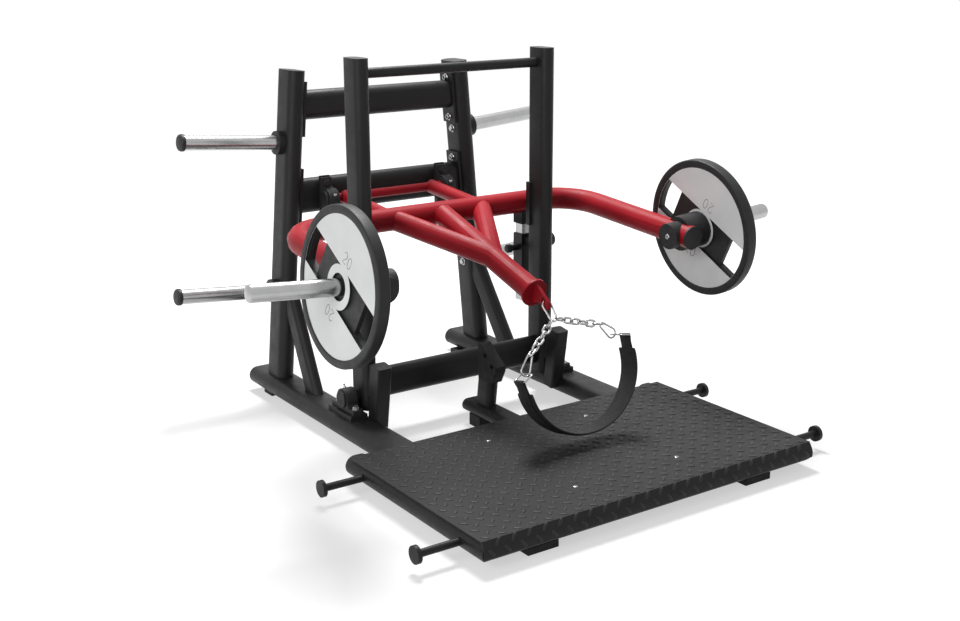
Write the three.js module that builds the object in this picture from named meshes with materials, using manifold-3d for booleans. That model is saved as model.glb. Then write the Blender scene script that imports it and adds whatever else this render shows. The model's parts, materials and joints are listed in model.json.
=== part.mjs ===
// Belt squat machine: a plate loaded lever arm hinged on a rear frame, a swinging rest frame that
// carries the arm between sets, a stepping platform, and a chain and belt hooked under the arm.
//
// Lengths are millimetres. X runs across the machine, Y runs from the platform to the rear frame
// and Z runs up from the floor. Y is first measured from the rear edge of the platform; the last
// lines move the whole machine so that the origin is the middle of its footprint on the floor.
import * as THREE from 'three';
import { mergeVertices } from 'three/addons/utils/BufferGeometryUtils.js';
import Module from 'manifold-3d';

const wasm = await Module();
wasm.setup();

// Clearances and facet counts.
const seatGap = 0.3; // between pieces that touch
const shaftGap = 0.5; // around a shaft in its bore
const slideGap = 0.5; // between a post and its sleeve
const weldOverlap = 0.5; // how far two welded members run into each other
const mitreOverlap = 0.1; // the same at a mitred corner under the tread plate
const cutReach = 400; // how far a cutting block reaches past what it cuts
const mergeTolerance = 1e-4;
const ovalSegments = 7;
const tubeSides = 20;
const barSides = 16;
const plateSides = 32;
const bendStations = 6;
const hubSegments = 8;
const edgeSteps = 2; // facets round the edge of a cap or a horn's tip
const wireSides = 6;
const linkStations = 12;
const beltStations = 28;

// Floor frame.
const footHeight = 21;
const footWidth = 100;
const footDepth = 60;
const footInset = 20; // from a rail's middle line towards the middle of the machine
const frontFootInset = 50; // from the nose of the front tube
const rearFootInset = 85; // from the rails' rear ends
const railWidth = 120;
const railHeight = 60;
const railInset = 184; // from the tread plate's side to a rail's middle line
const railRearY = 960;

// Platform.
const platformDepth = 692; // rear edge of the tread plate to the nose of the front tube
const platformWidth = 1200;
const treadThickness = 4;
const frameTubeWidth = 80;
const frameReveal = 3; // the side tubes show this far outside the tread plate
const frameRearReveal = 20; // and this far behind it
const lipSlope = THREE.MathUtils.degToRad(31.6); // where the folded lip meets the front tube
const lipCurl = THREE.MathUtils.degToRad(20); // how far it follows the tube below its middle
const lipArcSteps = 6;
const outriggerSize = 40;
const rearOutriggerInset = 150; // from the tread plate's rear edge
const frontOutriggerInset = 172; // from the front tube's nose
const rearPegInset = 83;
const frontPegInset = 106;
const pegReach = 138; // from the side tube's outer face to the outer face of a peg's disc
const pegRadius = 11;
const pegDiscRadius = 25;
const pegDiscThickness = 12;

// Centre stand and bumper.
const centreRailWidth = 80;
const centreRailHeight = 40;
const centreRailRearY = 245;
const centreFootY = 187;
const centreFootSize = 60;
const centrePostThin = 40;
const centrePostDeep = 80;
const centrePostFootY = 163;
const centrePostLean = THREE.MathUtils.degToRad(8);
const centrePostTop = 170;
const bumperWidth = 40;
const bumperChamfer = 6;
const bumperBackY = 178;
const bumperTopY = 166;
const bumperNoseY = 82;
const bumperHeelY = 104;
const bumperHeight = 120;
const bumperNoseTop = 58; // above the post, as is the next
const bumperNoseFoot = 42;
const bumperHoleRadius = 8;
const bumperHoleBack = 26; // first hole, from the top edge of the sloping face
const bumperHoleDrop = 35;
const bumperHoleRun = 36; // from the first hole to the second
const bumperHoleFall = 29;

// Rear uprights, braces and storage horns.
const rearUprightY = 832;
const rearUprightTopX = 324;
const rearUprightTop = 1133;
const rearUprightFootInset = 2; // from a rail's middle line
const rearUprightDeep = 120;
const rearUprightThin = 60;
const braceDeep = 80;
const braceThin = 40;
const braceFootInset = 12; // from a rail's middle line
const braceFootY = 596;
const braceRunShare = 0.637; // rearward run of a brace as a share of what it climbs
const hornHeights = { upper: 889.6, lower: 382 }; // on the uprights' middle line
const hornReach = 362; // outer face of the upright to the tip of the cap
const hornRadius = 25;
const hornCollarRadius = 40;
const hornCollarLength = 22;
const hornCapRadius = 27;
const hornCapLength = 14;
const hornCapRound = 4;

// Crossbeams between the rear uprights.
const beamDeep = 60;
const flangeThickness = 10;
const flangeWidth = 76;
const upperBeam = { z: 1013, tall: 100, flangeTop: 84, flangeFoot: 100, boltInset: 20 };
const lowerBeam = { z: 703.5, tall: 120, flangeTop: 102, flangeFoot: 102, boltInset: 21 };
const boltHeadRadius = 10;
const boltHeadHeight = 9;
const boltSides = 6;

// Pillow block bearings.
const blockLength = 140;
const blockWidth = 38;
const blockFootThickness = 14;
const blockShoulder = 40;
const blockShaftHeight = 36.5;
const blockHubRadius = 35;
const blockHubStart = THREE.MathUtils.degToRad(-20);
const blockBoltSpread = 52.5;
const shaftRadius = 12.5;
const shaftCapRadius = 27;
const shaftCapThickness = 6;
const shaftBossRadius = 20;
const seatPlateLength = 150;
const baseSeatThickness = 15.5;
const armSeatThickness = 7.2;

// Swinging rest frame.
const releasePivotY = 342;
const releaseInset = 64; // from a rail's middle line
const releaseDeep = 100;
const releaseThin = 50;
const releaseFoot = 92;
const releaseTop = 1206;
const handleZ = 1158;
const handleRadius = 16;
const releaseBeamZ = 164;
const releaseBeamTall = 100;
const wearStripThickness = 8;
const wearStripFrontInset = 31; // from the upright's rear edge
const wearStripFoot = 604;
const wearStripTop = 753;
const wearGap = 25.5; // to the yoke's back tube

// Start height rest behind the right upright.
const restY = 440;
const sleeveSize = 50;
const sleeveWall = 5;
const sleeveLength = 200;
const sleeveLugWidth = 30;
const sleeveLugHeight = 30;
const sleeveLugInset = 24;
const restPostReveal = 36; // of the post between the sleeve and the pad
const restPostTail = 40; // of the post below the sleeve
const restPadHeight = 35.3;
const restPadClearance = 0.7;
const restTravel = 35;
const pinDrop = 49; // from the sleeve's top to the pin
const pinRadius = 4.7;
const pinBoreRadius = 5.3;
const pinHousingRadius = 11;
const pinHousingLength = 26;
const pinKnobRadius = 15;
const pinKnobLength = 22;
const pinKnobRound = 4;
const pinKnobGap = 1;
const pinTip = 6; // how far the pin reaches into the post
const pinSlotDepth = 8;
const pinSlotWidth = 11;

// Stop posts of the rest frame.
const stopInset = 65; // from a rail's middle line
const stopSize = 50;
const stopChamfer = 4;
const stopTopY = 231;
const stopTopZ = 258;
const stopLean = THREE.MathUtils.degToRad(8.8);
const stopLength = 210;
const stopPadWidth = 40;
const stopPadLength = 110;
const stopPadInset = 8;
const stopClearance = 0.6;

// Lever arm.
const armPivotZ = 697;
const armBlockX = 234;
const axleTubeRadius = 16;
const axleEndGap = 1.5;
const linkX = 175;
const linkRadius = 25;
const yokeRadius = 38;
const yokeHalfWidth = 566;
const yokeBendRadius = 140;
const yokeBackY = 445;
const yokeBackZ = 671;
const yokeFrontY = -178;
const yokeSlope = THREE.MathUtils.degToRad(4.15);
const memberStandoff = 15; // a member starts this far ahead of the back tube's middle
const plugRadius = 38.5;
const plugThickness = 6;
const boomRadius = 36;
const boomBackY = 430;
const boomBackZ = 675;
const boomEndY = -98;
const boomEndZ = 513;
const boomDiscRadius = 45;
const boomDiscThickness = 8;
const strutRadius = 34;
const strutEndY = 122;
const strutEndZ = 581;
const hookThickness = 11;
const hookY = -146;
const hookZ = 501.5;
const hookHoleRadius = 9;
const hookEyeRadius = 19;
const hookTongue = 14; // from the hole to the middle of the rounded end
const hookRootTop = 34;
const hookRootFoot = 30;

// Plate horns and weight plates.
const plateHornY = -120;
const plateHornTilt = THREE.MathUtils.degToRad(4.7);
const plateHornShaftRadius = 19;
const plateHornShaftInset = 44;
const plateHornTip = 384;
const plateHornRound = 8;
const innerCapRadius = 42;
const innerCapFrom = 52;
const innerCapTo = 6;
const collarRadius = 57;
const collarFrom = 4;
const collarTo = 82.7;
const plateRadius = 225;
const plateThickness = 36;
const plateRimWidth = 25;
const plateFaceInset = 3;
const plateHubRadius = 64;
const plateBoreRadius = 25.5;
const plateCounterboreRadius = 39;
const plateCounterboreDepth = 8;
const plateBandHalfWidth = 60;
const plateBandInset = 8;
const plateBandMargin = 1; // from the band's ends to the rim
const plateBandTurn = THREE.MathUtils.degToRad(28.5);
const windowFrom = 127;
const windowMargin = 2; // from a window to the band's edges and the rim

// Chain, snap hooks and belt.
const beltRoll = THREE.MathUtils.degToRad(-10.6); // the set hangs askew on the hook
const hookLink = { length: 74, width: 36, wire: 7, corner: 11 };
const hookLinkDive = THREE.MathUtils.degToRad(57);
const hookLinkTurn = THREE.MathUtils.degToRad(35); // where the chains sit on its lower bend
const chainLink = { length: 34.5, width: 21, wire: 5.5 };
const chainLinkCount = 6;
const chainBite = 1; // neighbouring links press into each other by this
const chainTwist = THREE.MathUtils.degToRad(-71.4); // from the first link to the last
const chainStartRun = { x: 128, y: -50, z: -62 }; // course of the first link
const chainEndRun = { x: 128, y: -46, z: -46 }; // course of the last link
const snapWidth = 36;
const snapWire = 6;
const snapGap = 0.9; // to the chain's last link, which it crosses askew
const beltRadiusX = 196;
const beltRadiusZ = 186;
const beltCentreY = -116;
const beltCentreZ = -201;
const beltTilt = THREE.MathUtils.degToRad(13.6);
const beltWidth = 80;
const beltThickness = 8;
const strapWidth = 46;
const strapThickness = 5;
const strapTopX = 203;
const strapTopRise = 40;
const ringLength = 62;
const ringWidth = 40;
const ringWire = 5;
const ringLean = { inward: 33, up: 12.3 }; // direction from the strap's loop to the far side
const ringSlide = 12.5; // the snap link sits this far behind the ring's middle
const strapLoopRadius = 6.5;

// Places that follow from the sizes above.
const railX = platformWidth / 2 - railInset;
const footX = railX - footInset;
const frontFootY = frontFootInset - platformDepth;
const rearFootY = railRearY - rearFootInset;
const outriggerYs = [-rearOutriggerInset, frontOutriggerInset - platformDepth];
const pegYs = [-rearPegInset, frontPegInset - platformDepth];
const rearUprightFootX = railX - rearUprightFootInset;
const braceFootX = railX - braceFootInset;
const releaseX = railX - releaseInset;
const stopX = railX - stopInset;
const bumperTopZ = centrePostTop + bumperHeight;
const restPadFoot = yokeBackZ - yokeRadius - restPadClearance - restPadHeight;
const sleeveTop = restPadFoot - restPostReveal;
const sleeveFoot = sleeveTop - sleeveLength;
const restPostFoot = sleeveFoot - restPostTail;
const pinZ = sleeveTop - pinDrop;
const railTop = footHeight + railHeight;
const railMiddle = footHeight + railHeight / 2;
const railRound = railHeight / 2;
const frameHalfWidth = platformWidth / 2 + frameReveal;
const frontTubeY = -platformDepth + frameTubeWidth / 2;
const sideTubeX = frameHalfWidth - frameTubeWidth / 2;
const frontArcY = -platformDepth + railRound;
const frontArcRearY = frontTubeY + frameTubeWidth / 2 - railRound;
const releasePivotZ = railTop + baseSeatThickness + seatGap + blockShaftHeight;
const beamFrontY = rearUprightY - beamDeep / 2;
const armPivotY = beamFrontY - armSeatThickness - seatGap - blockShaftHeight;
const releaseInnerX = releaseX - releaseThin / 2;
const releaseOuterX = releaseX + releaseThin / 2;
const releaseNose = releaseDeep / 2;
const rearLean = Math.atan2(rearUprightFootX - rearUprightTopX, rearUprightTop - railTop);
const plateHornZ = yokeBackZ - (yokeBackY - plateHornY) * Math.tan(yokeSlope);
const machineMiddleY = (railRearY + frontArcY - railRound - seatGap - treadThickness) / 2;
const sides = { left: -1, right: 1 };

const xAxis = new THREE.Vector3(1, 0, 0);
const yAxis = new THREE.Vector3(0, 1, 0);
const zAxis = new THREE.Vector3(0, 0, 1);

// Materials.
function finish(color, roughness, metalness) {
  return new THREE.MeshStandardMaterial({ color, roughness, metalness, flatShading: true });
}

const blackCoat = () => finish(0x222225, 0.5, 0.3);
const treadCoat = () => finish(0x333335, 0.6, 0.3);
const redCoat = () => finish(0xa5222d, 0.42, 0.15);
const chrome = () => finish(0xd8d8da, 0.15, 1);
const castIron = () => finish(0x1c1c1e, 0.6, 0.4);
const rubber = () => finish(0x161617, 0.85, 0);
const hardPlastic = () => finish(0x1a1a1c, 0.45, 0);
const plateCoat = () => finish(0xdcdcdc, 0.5, 0.1);
const webbing = () => finish(0x111112, 0.9, 0);

// Solids: joining and cutting closed meshes.

// A mesh with shared corners, no flat triangles and its faces pointing out.
function closedMesh(geometry) {
  const bare = geometry.clone();
  bare.deleteAttribute('normal');
  bare.deleteAttribute('uv');
  const merged = mergeVertices(bare, mergeTolerance);
  const corners = merged.attributes.position.array;
  const kept = [];
  const [a, b, c] = [new THREE.Vector3(), new THREE.Vector3(), new THREE.Vector3()];
  let volume = 0;
  for (let i = 0; i < merged.index.count; i += 3) {
    const [p, q, r] = [0, 1, 2].map((step) => merged.index.getX(i + step));
    if (p === q || q === r || r === p) continue;
    kept.push([p, q, r]);
    a.fromArray(corners, 3 * p);
    b.fromArray(corners, 3 * q);
    c.fromArray(corners, 3 * r);
    volume += a.dot(b.cross(c));
  }
  const triangles = volume < 0 ? kept.map(([p, q, r]) => [p, r, q]) : kept;
  return { corners, triangles: new Uint32Array(triangles.flat()) };
}

function solidOf(geometry) {
  const { corners, triangles } = closedMesh(geometry);
  return new wasm.Manifold(
    new wasm.Mesh({ numProp: 3, vertProperties: corners, triVerts: triangles }),
  );
}

function geometryOf(solid) {
  const mesh = solid.getMesh();
  const geometry = new THREE.BufferGeometry();
  geometry.setAttribute('position', new THREE.BufferAttribute(mesh.vertProperties, mesh.numProp));
  geometry.setIndex(new THREE.BufferAttribute(mesh.triVerts, 1));
  return geometry;
}

function join(first, ...others) {
  return geometryOf(others.reduce((sum, next) => sum.add(solidOf(next)), solidOf(first)));
}

function cut(body, ...tools) {
  return geometryOf(tools.reduce((rest, tool) => rest.subtract(solidOf(tool)), solidOf(body)));
}

function common(first, second) {
  return geometryOf(solidOf(first).intersect(solidOf(second)));
}

// Sections and bars.

function at(x, y, z) {
  return new THREE.Vector3(x, y, z);
}

function along(start, direction, distance) {
  return start.clone().addScaledVector(direction, distance);
}

// A frame whose Z runs along a direction and whose X lies on the side of the given vector.
function frameAt(origin, sideways, direction) {
  const z = direction.clone().normalize();
  const y = z.clone().cross(sideways).normalize();
  const x = y.clone().cross(z);
  return new THREE.Matrix4().makeBasis(x, y, z).setPosition(origin);
}

function acrossOf(direction) {
  const slim = Math.abs(direction.z) < Math.abs(direction.length()) / 2;
  return slim ? zAxis.clone() : xAxis.clone();
}

// A flat oval: two straight sides joined by half circles, wide along its own X.
function flatOval(wide, thin, clearance = 0) {
  const round = thin / 2 + clearance;
  const half = (wide - thin) / 2;
  const shape = new THREE.Shape();
  shape.absarc(half, 0, round, -Math.PI / 2, Math.PI / 2, false);
  shape.absarc(-half, 0, round, Math.PI / 2, (3 * Math.PI) / 2, false);
  return shape;
}

function polygon(points) {
  return new THREE.Shape(points.map(([x, y]) => new THREE.Vector2(x, y)));
}

function rectangle(wide, tall) {
  const [w, h] = [wide / 2, tall / 2];
  return polygon([[-w, -h], [w, -h], [w, h], [-w, h]]);
}

function softSquare(size, chamfer) {
  const h = size / 2;
  const c = h - chamfer;
  return polygon([[-c, -h], [c, -h], [h, -c], [h, c], [c, h], [-c, h], [-h, c], [-h, -c]]);
}

function bar(section, start, end, sideways, segments = ovalSegments) {
  const direction = end.clone().sub(start);
  const options = { depth: direction.length(), bevelEnabled: false, curveSegments: segments };
  const geometry = new THREE.ExtrudeGeometry(section, options);
  return geometry.applyMatrix4(frameAt(start, sideways, direction));
}

function rod(radius, start, end, sideCount = barSides) {
  const direction = end.clone().sub(start);
  const length = direction.length();
  const geometry = new THREE.CylinderGeometry(radius, radius, length, sideCount);
  geometry.rotateX(Math.PI / 2).translate(0, 0, length / 2);
  return geometry.applyMatrix4(frameAt(start, acrossOf(direction), direction));
}

// A turned piece: its profile is a list of radius and distance along the axis.
function turned(profile, start, direction, sideCount = barSides) {
  const points = profile.map(([radius, distance]) => new THREE.Vector2(radius, distance));
  const geometry = new THREE.LatheGeometry(points, sideCount);
  geometry.rotateX(Math.PI / 2);
  return geometry.applyMatrix4(frameAt(start, acrossOf(direction), direction));
}

// The rounded outer edge of a turned piece, from its side to its end face.
function roundedEdge(radius, end, round) {
  return Array.from({ length: edgeSteps + 1 }, (_, step) => {
    const turn = (Math.PI / 2) * (step / edgeSteps);
    return [radius - round * (1 - Math.cos(turn)), end - round * (1 - Math.sin(turn))];
  });
}

function block(width, depth, height, centre) {
  return new THREE.BoxGeometry(width, depth, height).translate(centre.x, centre.y, centre.z);
}

// A big block whose face at the origin end lies on a plane, for cutting all that is past it.
function halfSpace(point, normal) {
  const reach = new THREE.Vector3().copy(normal).normalize();
  return bar(rectangle(2 * cutReach, 2 * cutReach), point, along(point, reach, cutReach),
    acrossOf(reach));
}

function piece(name, geometry, material) {
  const { corners, triangles } = closedMesh(geometry);
  const clean = new THREE.BufferGeometry();
  clean.setAttribute('position', new THREE.BufferAttribute(corners, 3));
  clean.setIndex(new THREE.BufferAttribute(triangles, 1));
  clean.computeVertexNormals();
  const mesh = new THREE.Mesh(clean, material);
  mesh.name = name;
  return mesh;
}

function forBothSides(build) {
  return Object.entries(sides).map(([name, side]) => build(name, side));
}

// Floor frame.

function railBar(side, clearance = 0) {
  const section = flatOval(railWidth, railHeight, clearance);
  const front = at(side * railX, frontArcRearY, railMiddle);
  return bar(section, front, at(side * railX, railRearY, railMiddle), xAxis);
}

function frontTube(clearance = 0) {
  const section = flatOval(frameTubeWidth, railHeight, clearance);
  const end = frameHalfWidth;
  return bar(section, at(-end, frontTubeY, railMiddle), at(end, frontTubeY, railMiddle), yAxis);
}

function baseRail(name, side) {
  const seat = block(
    railWidth - railHeight, seatPlateLength, baseSeatThickness + weldOverlap,
    at(side * railX, releasePivotY, railTop + (baseSeatThickness - weldOverlap) / 2),
  );
  const rail = cut(railBar(side), frontTube(seatGap));
  return piece(`base_rail_${name}`, join(rail, seat), blackCoat());
}

function foot(name, x, y, width, depth, height) {
  const centre = at(x, y, (height - seatGap) / 2);
  return piece(name, block(width, depth, height - seatGap, centre), rubber());
}

function floorFeet() {
  const rows = { front: frontFootY, rear: rearFootY };
  const corners = Object.entries(rows).flatMap(([row, y]) => forBothSides(
    (name, side) => foot(`foot_${row}_${name}`, side * footX, y, footWidth, footDepth, footHeight),
  ));
  const centreHeight = railTop - centreRailHeight;
  const centre = foot('foot_centre', 0, centreFootY, centreFootSize, centreFootSize, centreHeight);
  return [...corners, centre];
}

// Platform.

function sideTube(side) {
  const front = at(side * sideTubeX, -platformDepth, railMiddle);
  const rear = at(side * sideTubeX, frameRearReveal, railMiddle);
  return bar(flatOval(frameTubeWidth, railHeight), front, rear, xAxis);
}

// The corner of the frame is mitred: each tube is cut back to the plane through the corner.
function mitredFrame() {
  const corner = (side) => at(side * frameHalfWidth, -platformDepth, railMiddle);
  const outward = (side) => at(side, 1, 0).normalize();
  const front = cut(frontTube(), ...Object.values(sides).map(
    (side) => halfSpace(corner(side), outward(side)),
  ));
  const tubes = Object.values(sides).map((side) => {
    const inward = outward(side).negate();
    return cut(sideTube(side), halfSpace(along(corner(side), inward, mitreOverlap), inward));
  });
  return join(front, ...tubes);
}

function outrigger(side, y) {
  const section = rectangle(outriggerSize, outriggerSize);
  const beam = bar(section, at(side * railX, y, railMiddle), at(side * sideTubeX, y, railMiddle), yAxis);
  return cut(beam, railBar(side, seatGap));
}

function bandPeg(side, y) {
  const end = frameHalfWidth + pegReach;
  const disc = end - pegDiscThickness;
  const start = at(side * sideTubeX, y, railMiddle);
  const neck = rod(pegRadius, start, at(side * (disc + weldOverlap), y, railMiddle));
  const plate = rod(pegDiscRadius, at(side * disc, y, railMiddle),
    at(side * end, y, railMiddle), tubeSides);
  return join(neck, plate);
}

function platformFrame() {
  const branches = Object.values(sides).flatMap((side) => [
    ...outriggerYs.map((y) => outrigger(side, y)),
    ...pegYs.map((y) => bandPeg(side, y)),
  ]);
  return piece('platform_frame', join(mitredFrame(), ...branches), blackCoat());
}

// The plate's side view: flat on the tubes, folded down the front and curled under its nose.
function treadOutline() {
  const inner = railRound + seatGap;
  const outer = inner + treadThickness;
  const fold = (radius) => frontArcY - (radius * (1 - Math.sin(lipSlope))) / Math.cos(lipSlope);
  const onArc = (radius, turn) => [
    frontArcY - radius * Math.cos(turn), railMiddle + radius * Math.sin(turn),
  ];
  const turns = Array.from({ length: lipArcSteps + 1 }, (_, step) => (
    lipSlope - ((lipSlope + lipCurl) * step) / lipArcSteps
  ));
  return polygon([
    [0, railMiddle + outer],
    [fold(outer), railMiddle + outer],
    ...turns.map((turn) => onArc(outer, turn)),
    ...turns.reverse().map((turn) => onArc(inner, turn)),
    [fold(inner), railMiddle + inner],
    [0, railMiddle + inner],
  ]);
}

function treadPlate() {
  const half = platformWidth / 2;
  const plate = bar(treadOutline(), at(-half, 0, 0), at(half, 0, 0), yAxis);
  return piece('tread_plate', plate, treadCoat());
}

// Centre stand.

function centreStand() {
  const middle = railTop - centreRailHeight / 2;
  const section = flatOval(centreRailWidth, centreRailHeight);
  const rail = cut(
    bar(section, at(0, frontArcRearY, middle), at(0, centreRailRearY, middle), xAxis),
    frontTube(seatGap),
  );
  const direction = at(0, -Math.sin(centrePostLean), Math.cos(centrePostLean));
  const footing = at(0, centrePostFootY, railTop);
  const start = along(footing, direction, -centreRailHeight / 2);
  const post = bar(flatOval(centrePostDeep, centrePostThin), start,
    along(footing, direction, centrePostTop), yAxis);
  const trimmed = cut(post, halfSpace(at(0, centrePostFootY, centrePostTop), zAxis));
  return piece('centre_stand', join(rail, trimmed), blackCoat());
}

// The bumper catches the boom at the bottom of a squat: a block with a sloping face.
function centreBumper() {
  const base = centrePostTop + seatGap;
  const outline = polygon([
    [bumperHeelY, base],
    [bumperBackY, base],
    [bumperBackY, bumperTopZ - bumperChamfer],
    [bumperBackY - bumperChamfer, bumperTopZ],
    [bumperTopY, bumperTopZ],
    [bumperNoseY, centrePostTop + bumperNoseTop],
    [bumperNoseY, centrePostTop + bumperNoseFoot],
  ]);
  outline.holes = [0, 1].map((step) => new THREE.Path().absarc(
    bumperTopY - bumperHoleBack - step * bumperHoleRun,
    bumperTopZ - bumperHoleDrop - step * bumperHoleFall,
    bumperHoleRadius, 0, 2 * Math.PI,
  ));
  const half = bumperWidth / 2;
  const body = bar(outline, at(-half, 0, 0), at(half, 0, 0), yAxis);
  return piece('centre_bumper', body, rubber());
}

// Rear uprights, braces, beams and storage horns.

function uprightPoint(side, z) {
  const share = (z - railTop) / (rearUprightTop - railTop);
  const x = rearUprightFootX + (rearUprightTopX - rearUprightFootX) * share;
  return at(side * x, rearUprightY, z);
}

function uprightAxis(side) {
  return at(-side * Math.sin(rearLean), 0, Math.cos(rearLean));
}

function hornAxis(side) {
  return at(side * Math.cos(rearLean), 0, Math.sin(rearLean));
}

function uprightBar(side, clearance = 0) {
  const section = flatOval(rearUprightDeep, rearUprightThin, clearance);
  const start = along(uprightPoint(side, railTop), uprightAxis(side), -railHeight / 2);
  return bar(section, start, uprightPoint(side, rearUprightTop), yAxis);
}

function hornRoot(side, height) {
  return along(uprightPoint(side, height), hornAxis(side), rearUprightThin / 2);
}

function rearUpright(name, side) {
  const floor = halfSpace(at(side * railX, rearUprightY, railTop + seatGap), at(0, 0, -1));
  const collars = Object.values(hornHeights).map((height) => {
    const root = hornRoot(side, height);
    const start = along(root, hornAxis(side), -weldOverlap);
    return rod(hornCollarRadius, start, along(root, hornAxis(side), hornCollarLength), tubeSides);
  });
  const upright = join(cut(uprightBar(side), floor), ...collars);
  return piece(`rear_upright_${name}`, upright, blackCoat());
}

function rearBrace(name, side) {
  const rise = (rearUprightY - braceFootY) / braceRunShare;
  const top = uprightPoint(side, railTop + rise);
  const direction = top.clone().sub(at(side * braceFootX, braceFootY, railTop)).normalize();
  const start = along(at(side * braceFootX, braceFootY, railTop), direction, -railHeight);
  const sideways = xAxis.clone().cross(direction);
  const strip = bar(flatOval(braceDeep, braceThin), start, top, sideways);
  const floor = halfSpace(at(side * railX, braceFootY, railTop + seatGap), at(0, 0, -1));
  return piece(`rear_brace_${name}`, cut(strip, floor, uprightBar(side, seatGap)), blackCoat());
}

function storageHorn(name, side, row, height) {
  const sleeveStart = hornCollarLength + seatGap;
  const capStart = hornReach - hornCapLength;
  const horn = turned([
    [0, sleeveStart],
    [hornRadius, sleeveStart],
    [hornRadius, capStart],
    [hornCapRadius, capStart],
    ...roundedEdge(hornCapRadius, hornReach, hornCapRound),
    [0, hornReach],
  ], hornRoot(side, height), hornAxis(side), tubeSides);
  return piece(`storage_horn_${row}_${name}`, horn, chrome());
}

// A hexagon head on the inner face of an end flange.
function flangeBolt(flangeFace, side, distance) {
  const start = along(flangeFace, uprightAxis(side), distance);
  const inward = hornAxis(side).negate();
  return rod(boltHeadRadius, along(start, inward, -weldOverlap),
    along(start, inward, boltHeadHeight), boltSides);
}

function endFlange(side, beam) {
  const inward = hornAxis(side).negate();
  const centre = uprightPoint(side, beam.z);
  const inner = along(centre, inward, rearUprightThin / 2 + seatGap);
  const length = beam.flangeTop + beam.flangeFoot;
  const middle = (beam.flangeTop - beam.flangeFoot) / 2;
  const start = along(inner, uprightAxis(side), middle);
  const plate = bar(rectangle(flangeWidth, length), start,
    along(start, inward, flangeThickness), yAxis);
  const face = along(inner, inward, flangeThickness);
  const bolts = [beam.flangeTop - beam.boltInset, beam.boltInset - beam.flangeFoot].map(
    (distance) => flangeBolt(face, side, distance),
  );
  return join(plate, ...bolts);
}

function crossbeam(beam) {
  const section = flatOval(beam.tall, beamDeep);
  const end = uprightPoint(1, beam.z).x - rearUprightThin / 2 - seatGap - flangeThickness / 2;
  const tube = bar(section, at(-end, rearUprightY, beam.z), at(end, rearUprightY, beam.z), zAxis);
  return join(tube, ...Object.values(sides).map((side) => endFlange(side, beam)));
}

function upperCrossbeam() {
  return piece('upper_crossbeam', crossbeam(upperBeam), blackCoat());
}

function lowerCrossbeam() {
  const seats = Object.values(sides).map((side) => block(
    blockWidth, armSeatThickness + weldOverlap, seatPlateLength,
    at(side * armBlockX, beamFrontY - (armSeatThickness - weldOverlap) / 2, armPivotZ),
  ));
  return piece('lower_crossbeam', join(crossbeam(lowerBeam), ...seats), blackCoat());
}

// Pillow blocks.

// The block's end view: a foot, two shoulders and a round hub with the shaft's bore.
function blockOutline() {
  const half = blockLength / 2;
  const outline = new THREE.Shape();
  outline.moveTo(-half, 0);
  outline.lineTo(half, 0);
  outline.lineTo(half, blockFootThickness);
  outline.lineTo(blockShoulder, blockFootThickness);
  outline.absarc(0, blockShaftHeight, blockHubRadius, blockHubStart, Math.PI - blockHubStart);
  outline.lineTo(-blockShoulder, blockFootThickness);
  outline.lineTo(-half, blockFootThickness);
  outline.holes.push(
    new THREE.Path().absarc(0, blockShaftHeight, shaftRadius + shaftGap, 0, 2 * Math.PI),
  );
  return outline;
}

function pillowBlock(footCentre, up) {
  const lengthways = up.clone().cross(xAxis);
  const start = along(footCentre, xAxis, -blockWidth / 2);
  const end = along(footCentre, xAxis, blockWidth / 2);
  const body = bar(blockOutline(), start, end, lengthways, hubSegments);
  const bolts = [-blockBoltSpread, blockBoltSpread].map((spread) => {
    const seat = along(along(footCentre, lengthways, spread), up, blockFootThickness);
    return rod(boltHeadRadius, along(seat, up, -weldOverlap), along(seat, up, boltHeadHeight),
      boltSides);
  });
  return join(body, ...bolts);
}

function basePillowBlock(name, side) {
  const footCentre = at(side * railX, releasePivotY, railTop + baseSeatThickness + seatGap);
  return piece(`base_pillow_block_${name}`, pillowBlock(footCentre, zAxis), castIron());
}

function armPillowBlock(name, side) {
  const footCentre = at(side * armBlockX, beamFrontY - armSeatThickness - seatGap, armPivotZ);
  return piece(`arm_pillow_block_${name}`, pillowBlock(footCentre, at(0, -1, 0)), castIron());
}

// Stop posts.

function stopAxis() {
  return at(0, -Math.sin(stopLean), Math.cos(stopLean));
}

function stopRear() {
  return at(0, Math.cos(stopLean), Math.sin(stopLean));
}

function stopPost(name, side) {
  const top = at(side * stopX, stopTopY, stopTopZ);
  const start = along(top, stopAxis(), -stopLength);
  const post = bar(softSquare(stopSize, stopChamfer), start, top, xAxis);
  return piece(`stop_post_${name}`, cut(post, railBar(side, seatGap)), blackCoat());
}

// The pad fills the room between the post and the swung upright, less a small clearance.
function stopPad(name, side) {
  const top = at(side * stopX, stopTopY, stopTopZ);
  const toPivot = at(side * stopX, releasePivotY, releasePivotZ).sub(top);
  const room = toPivot.dot(stopRear()) - stopSize / 2 - releaseNose;
  const foot = along(along(top, stopAxis(), -stopPadInset - stopPadLength / 2), stopRear(),
    stopSize / 2 + seatGap);
  const pad = bar(rectangle(stopPadWidth, stopPadLength), foot,
    along(foot, stopRear(), room - stopClearance - seatGap), xAxis);
  return piece(`stop_pad_${name}`, pad, rubber());
}

// Swinging rest frame.

function releaseBar(side, clearance = 0) {
  const section = flatOval(releaseDeep, releaseThin, clearance);
  const foot = at(side * releaseX, releasePivotY, releaseFoot);
  return bar(section, foot, at(side * releaseX, releasePivotY, releaseTop), yAxis);
}

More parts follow.
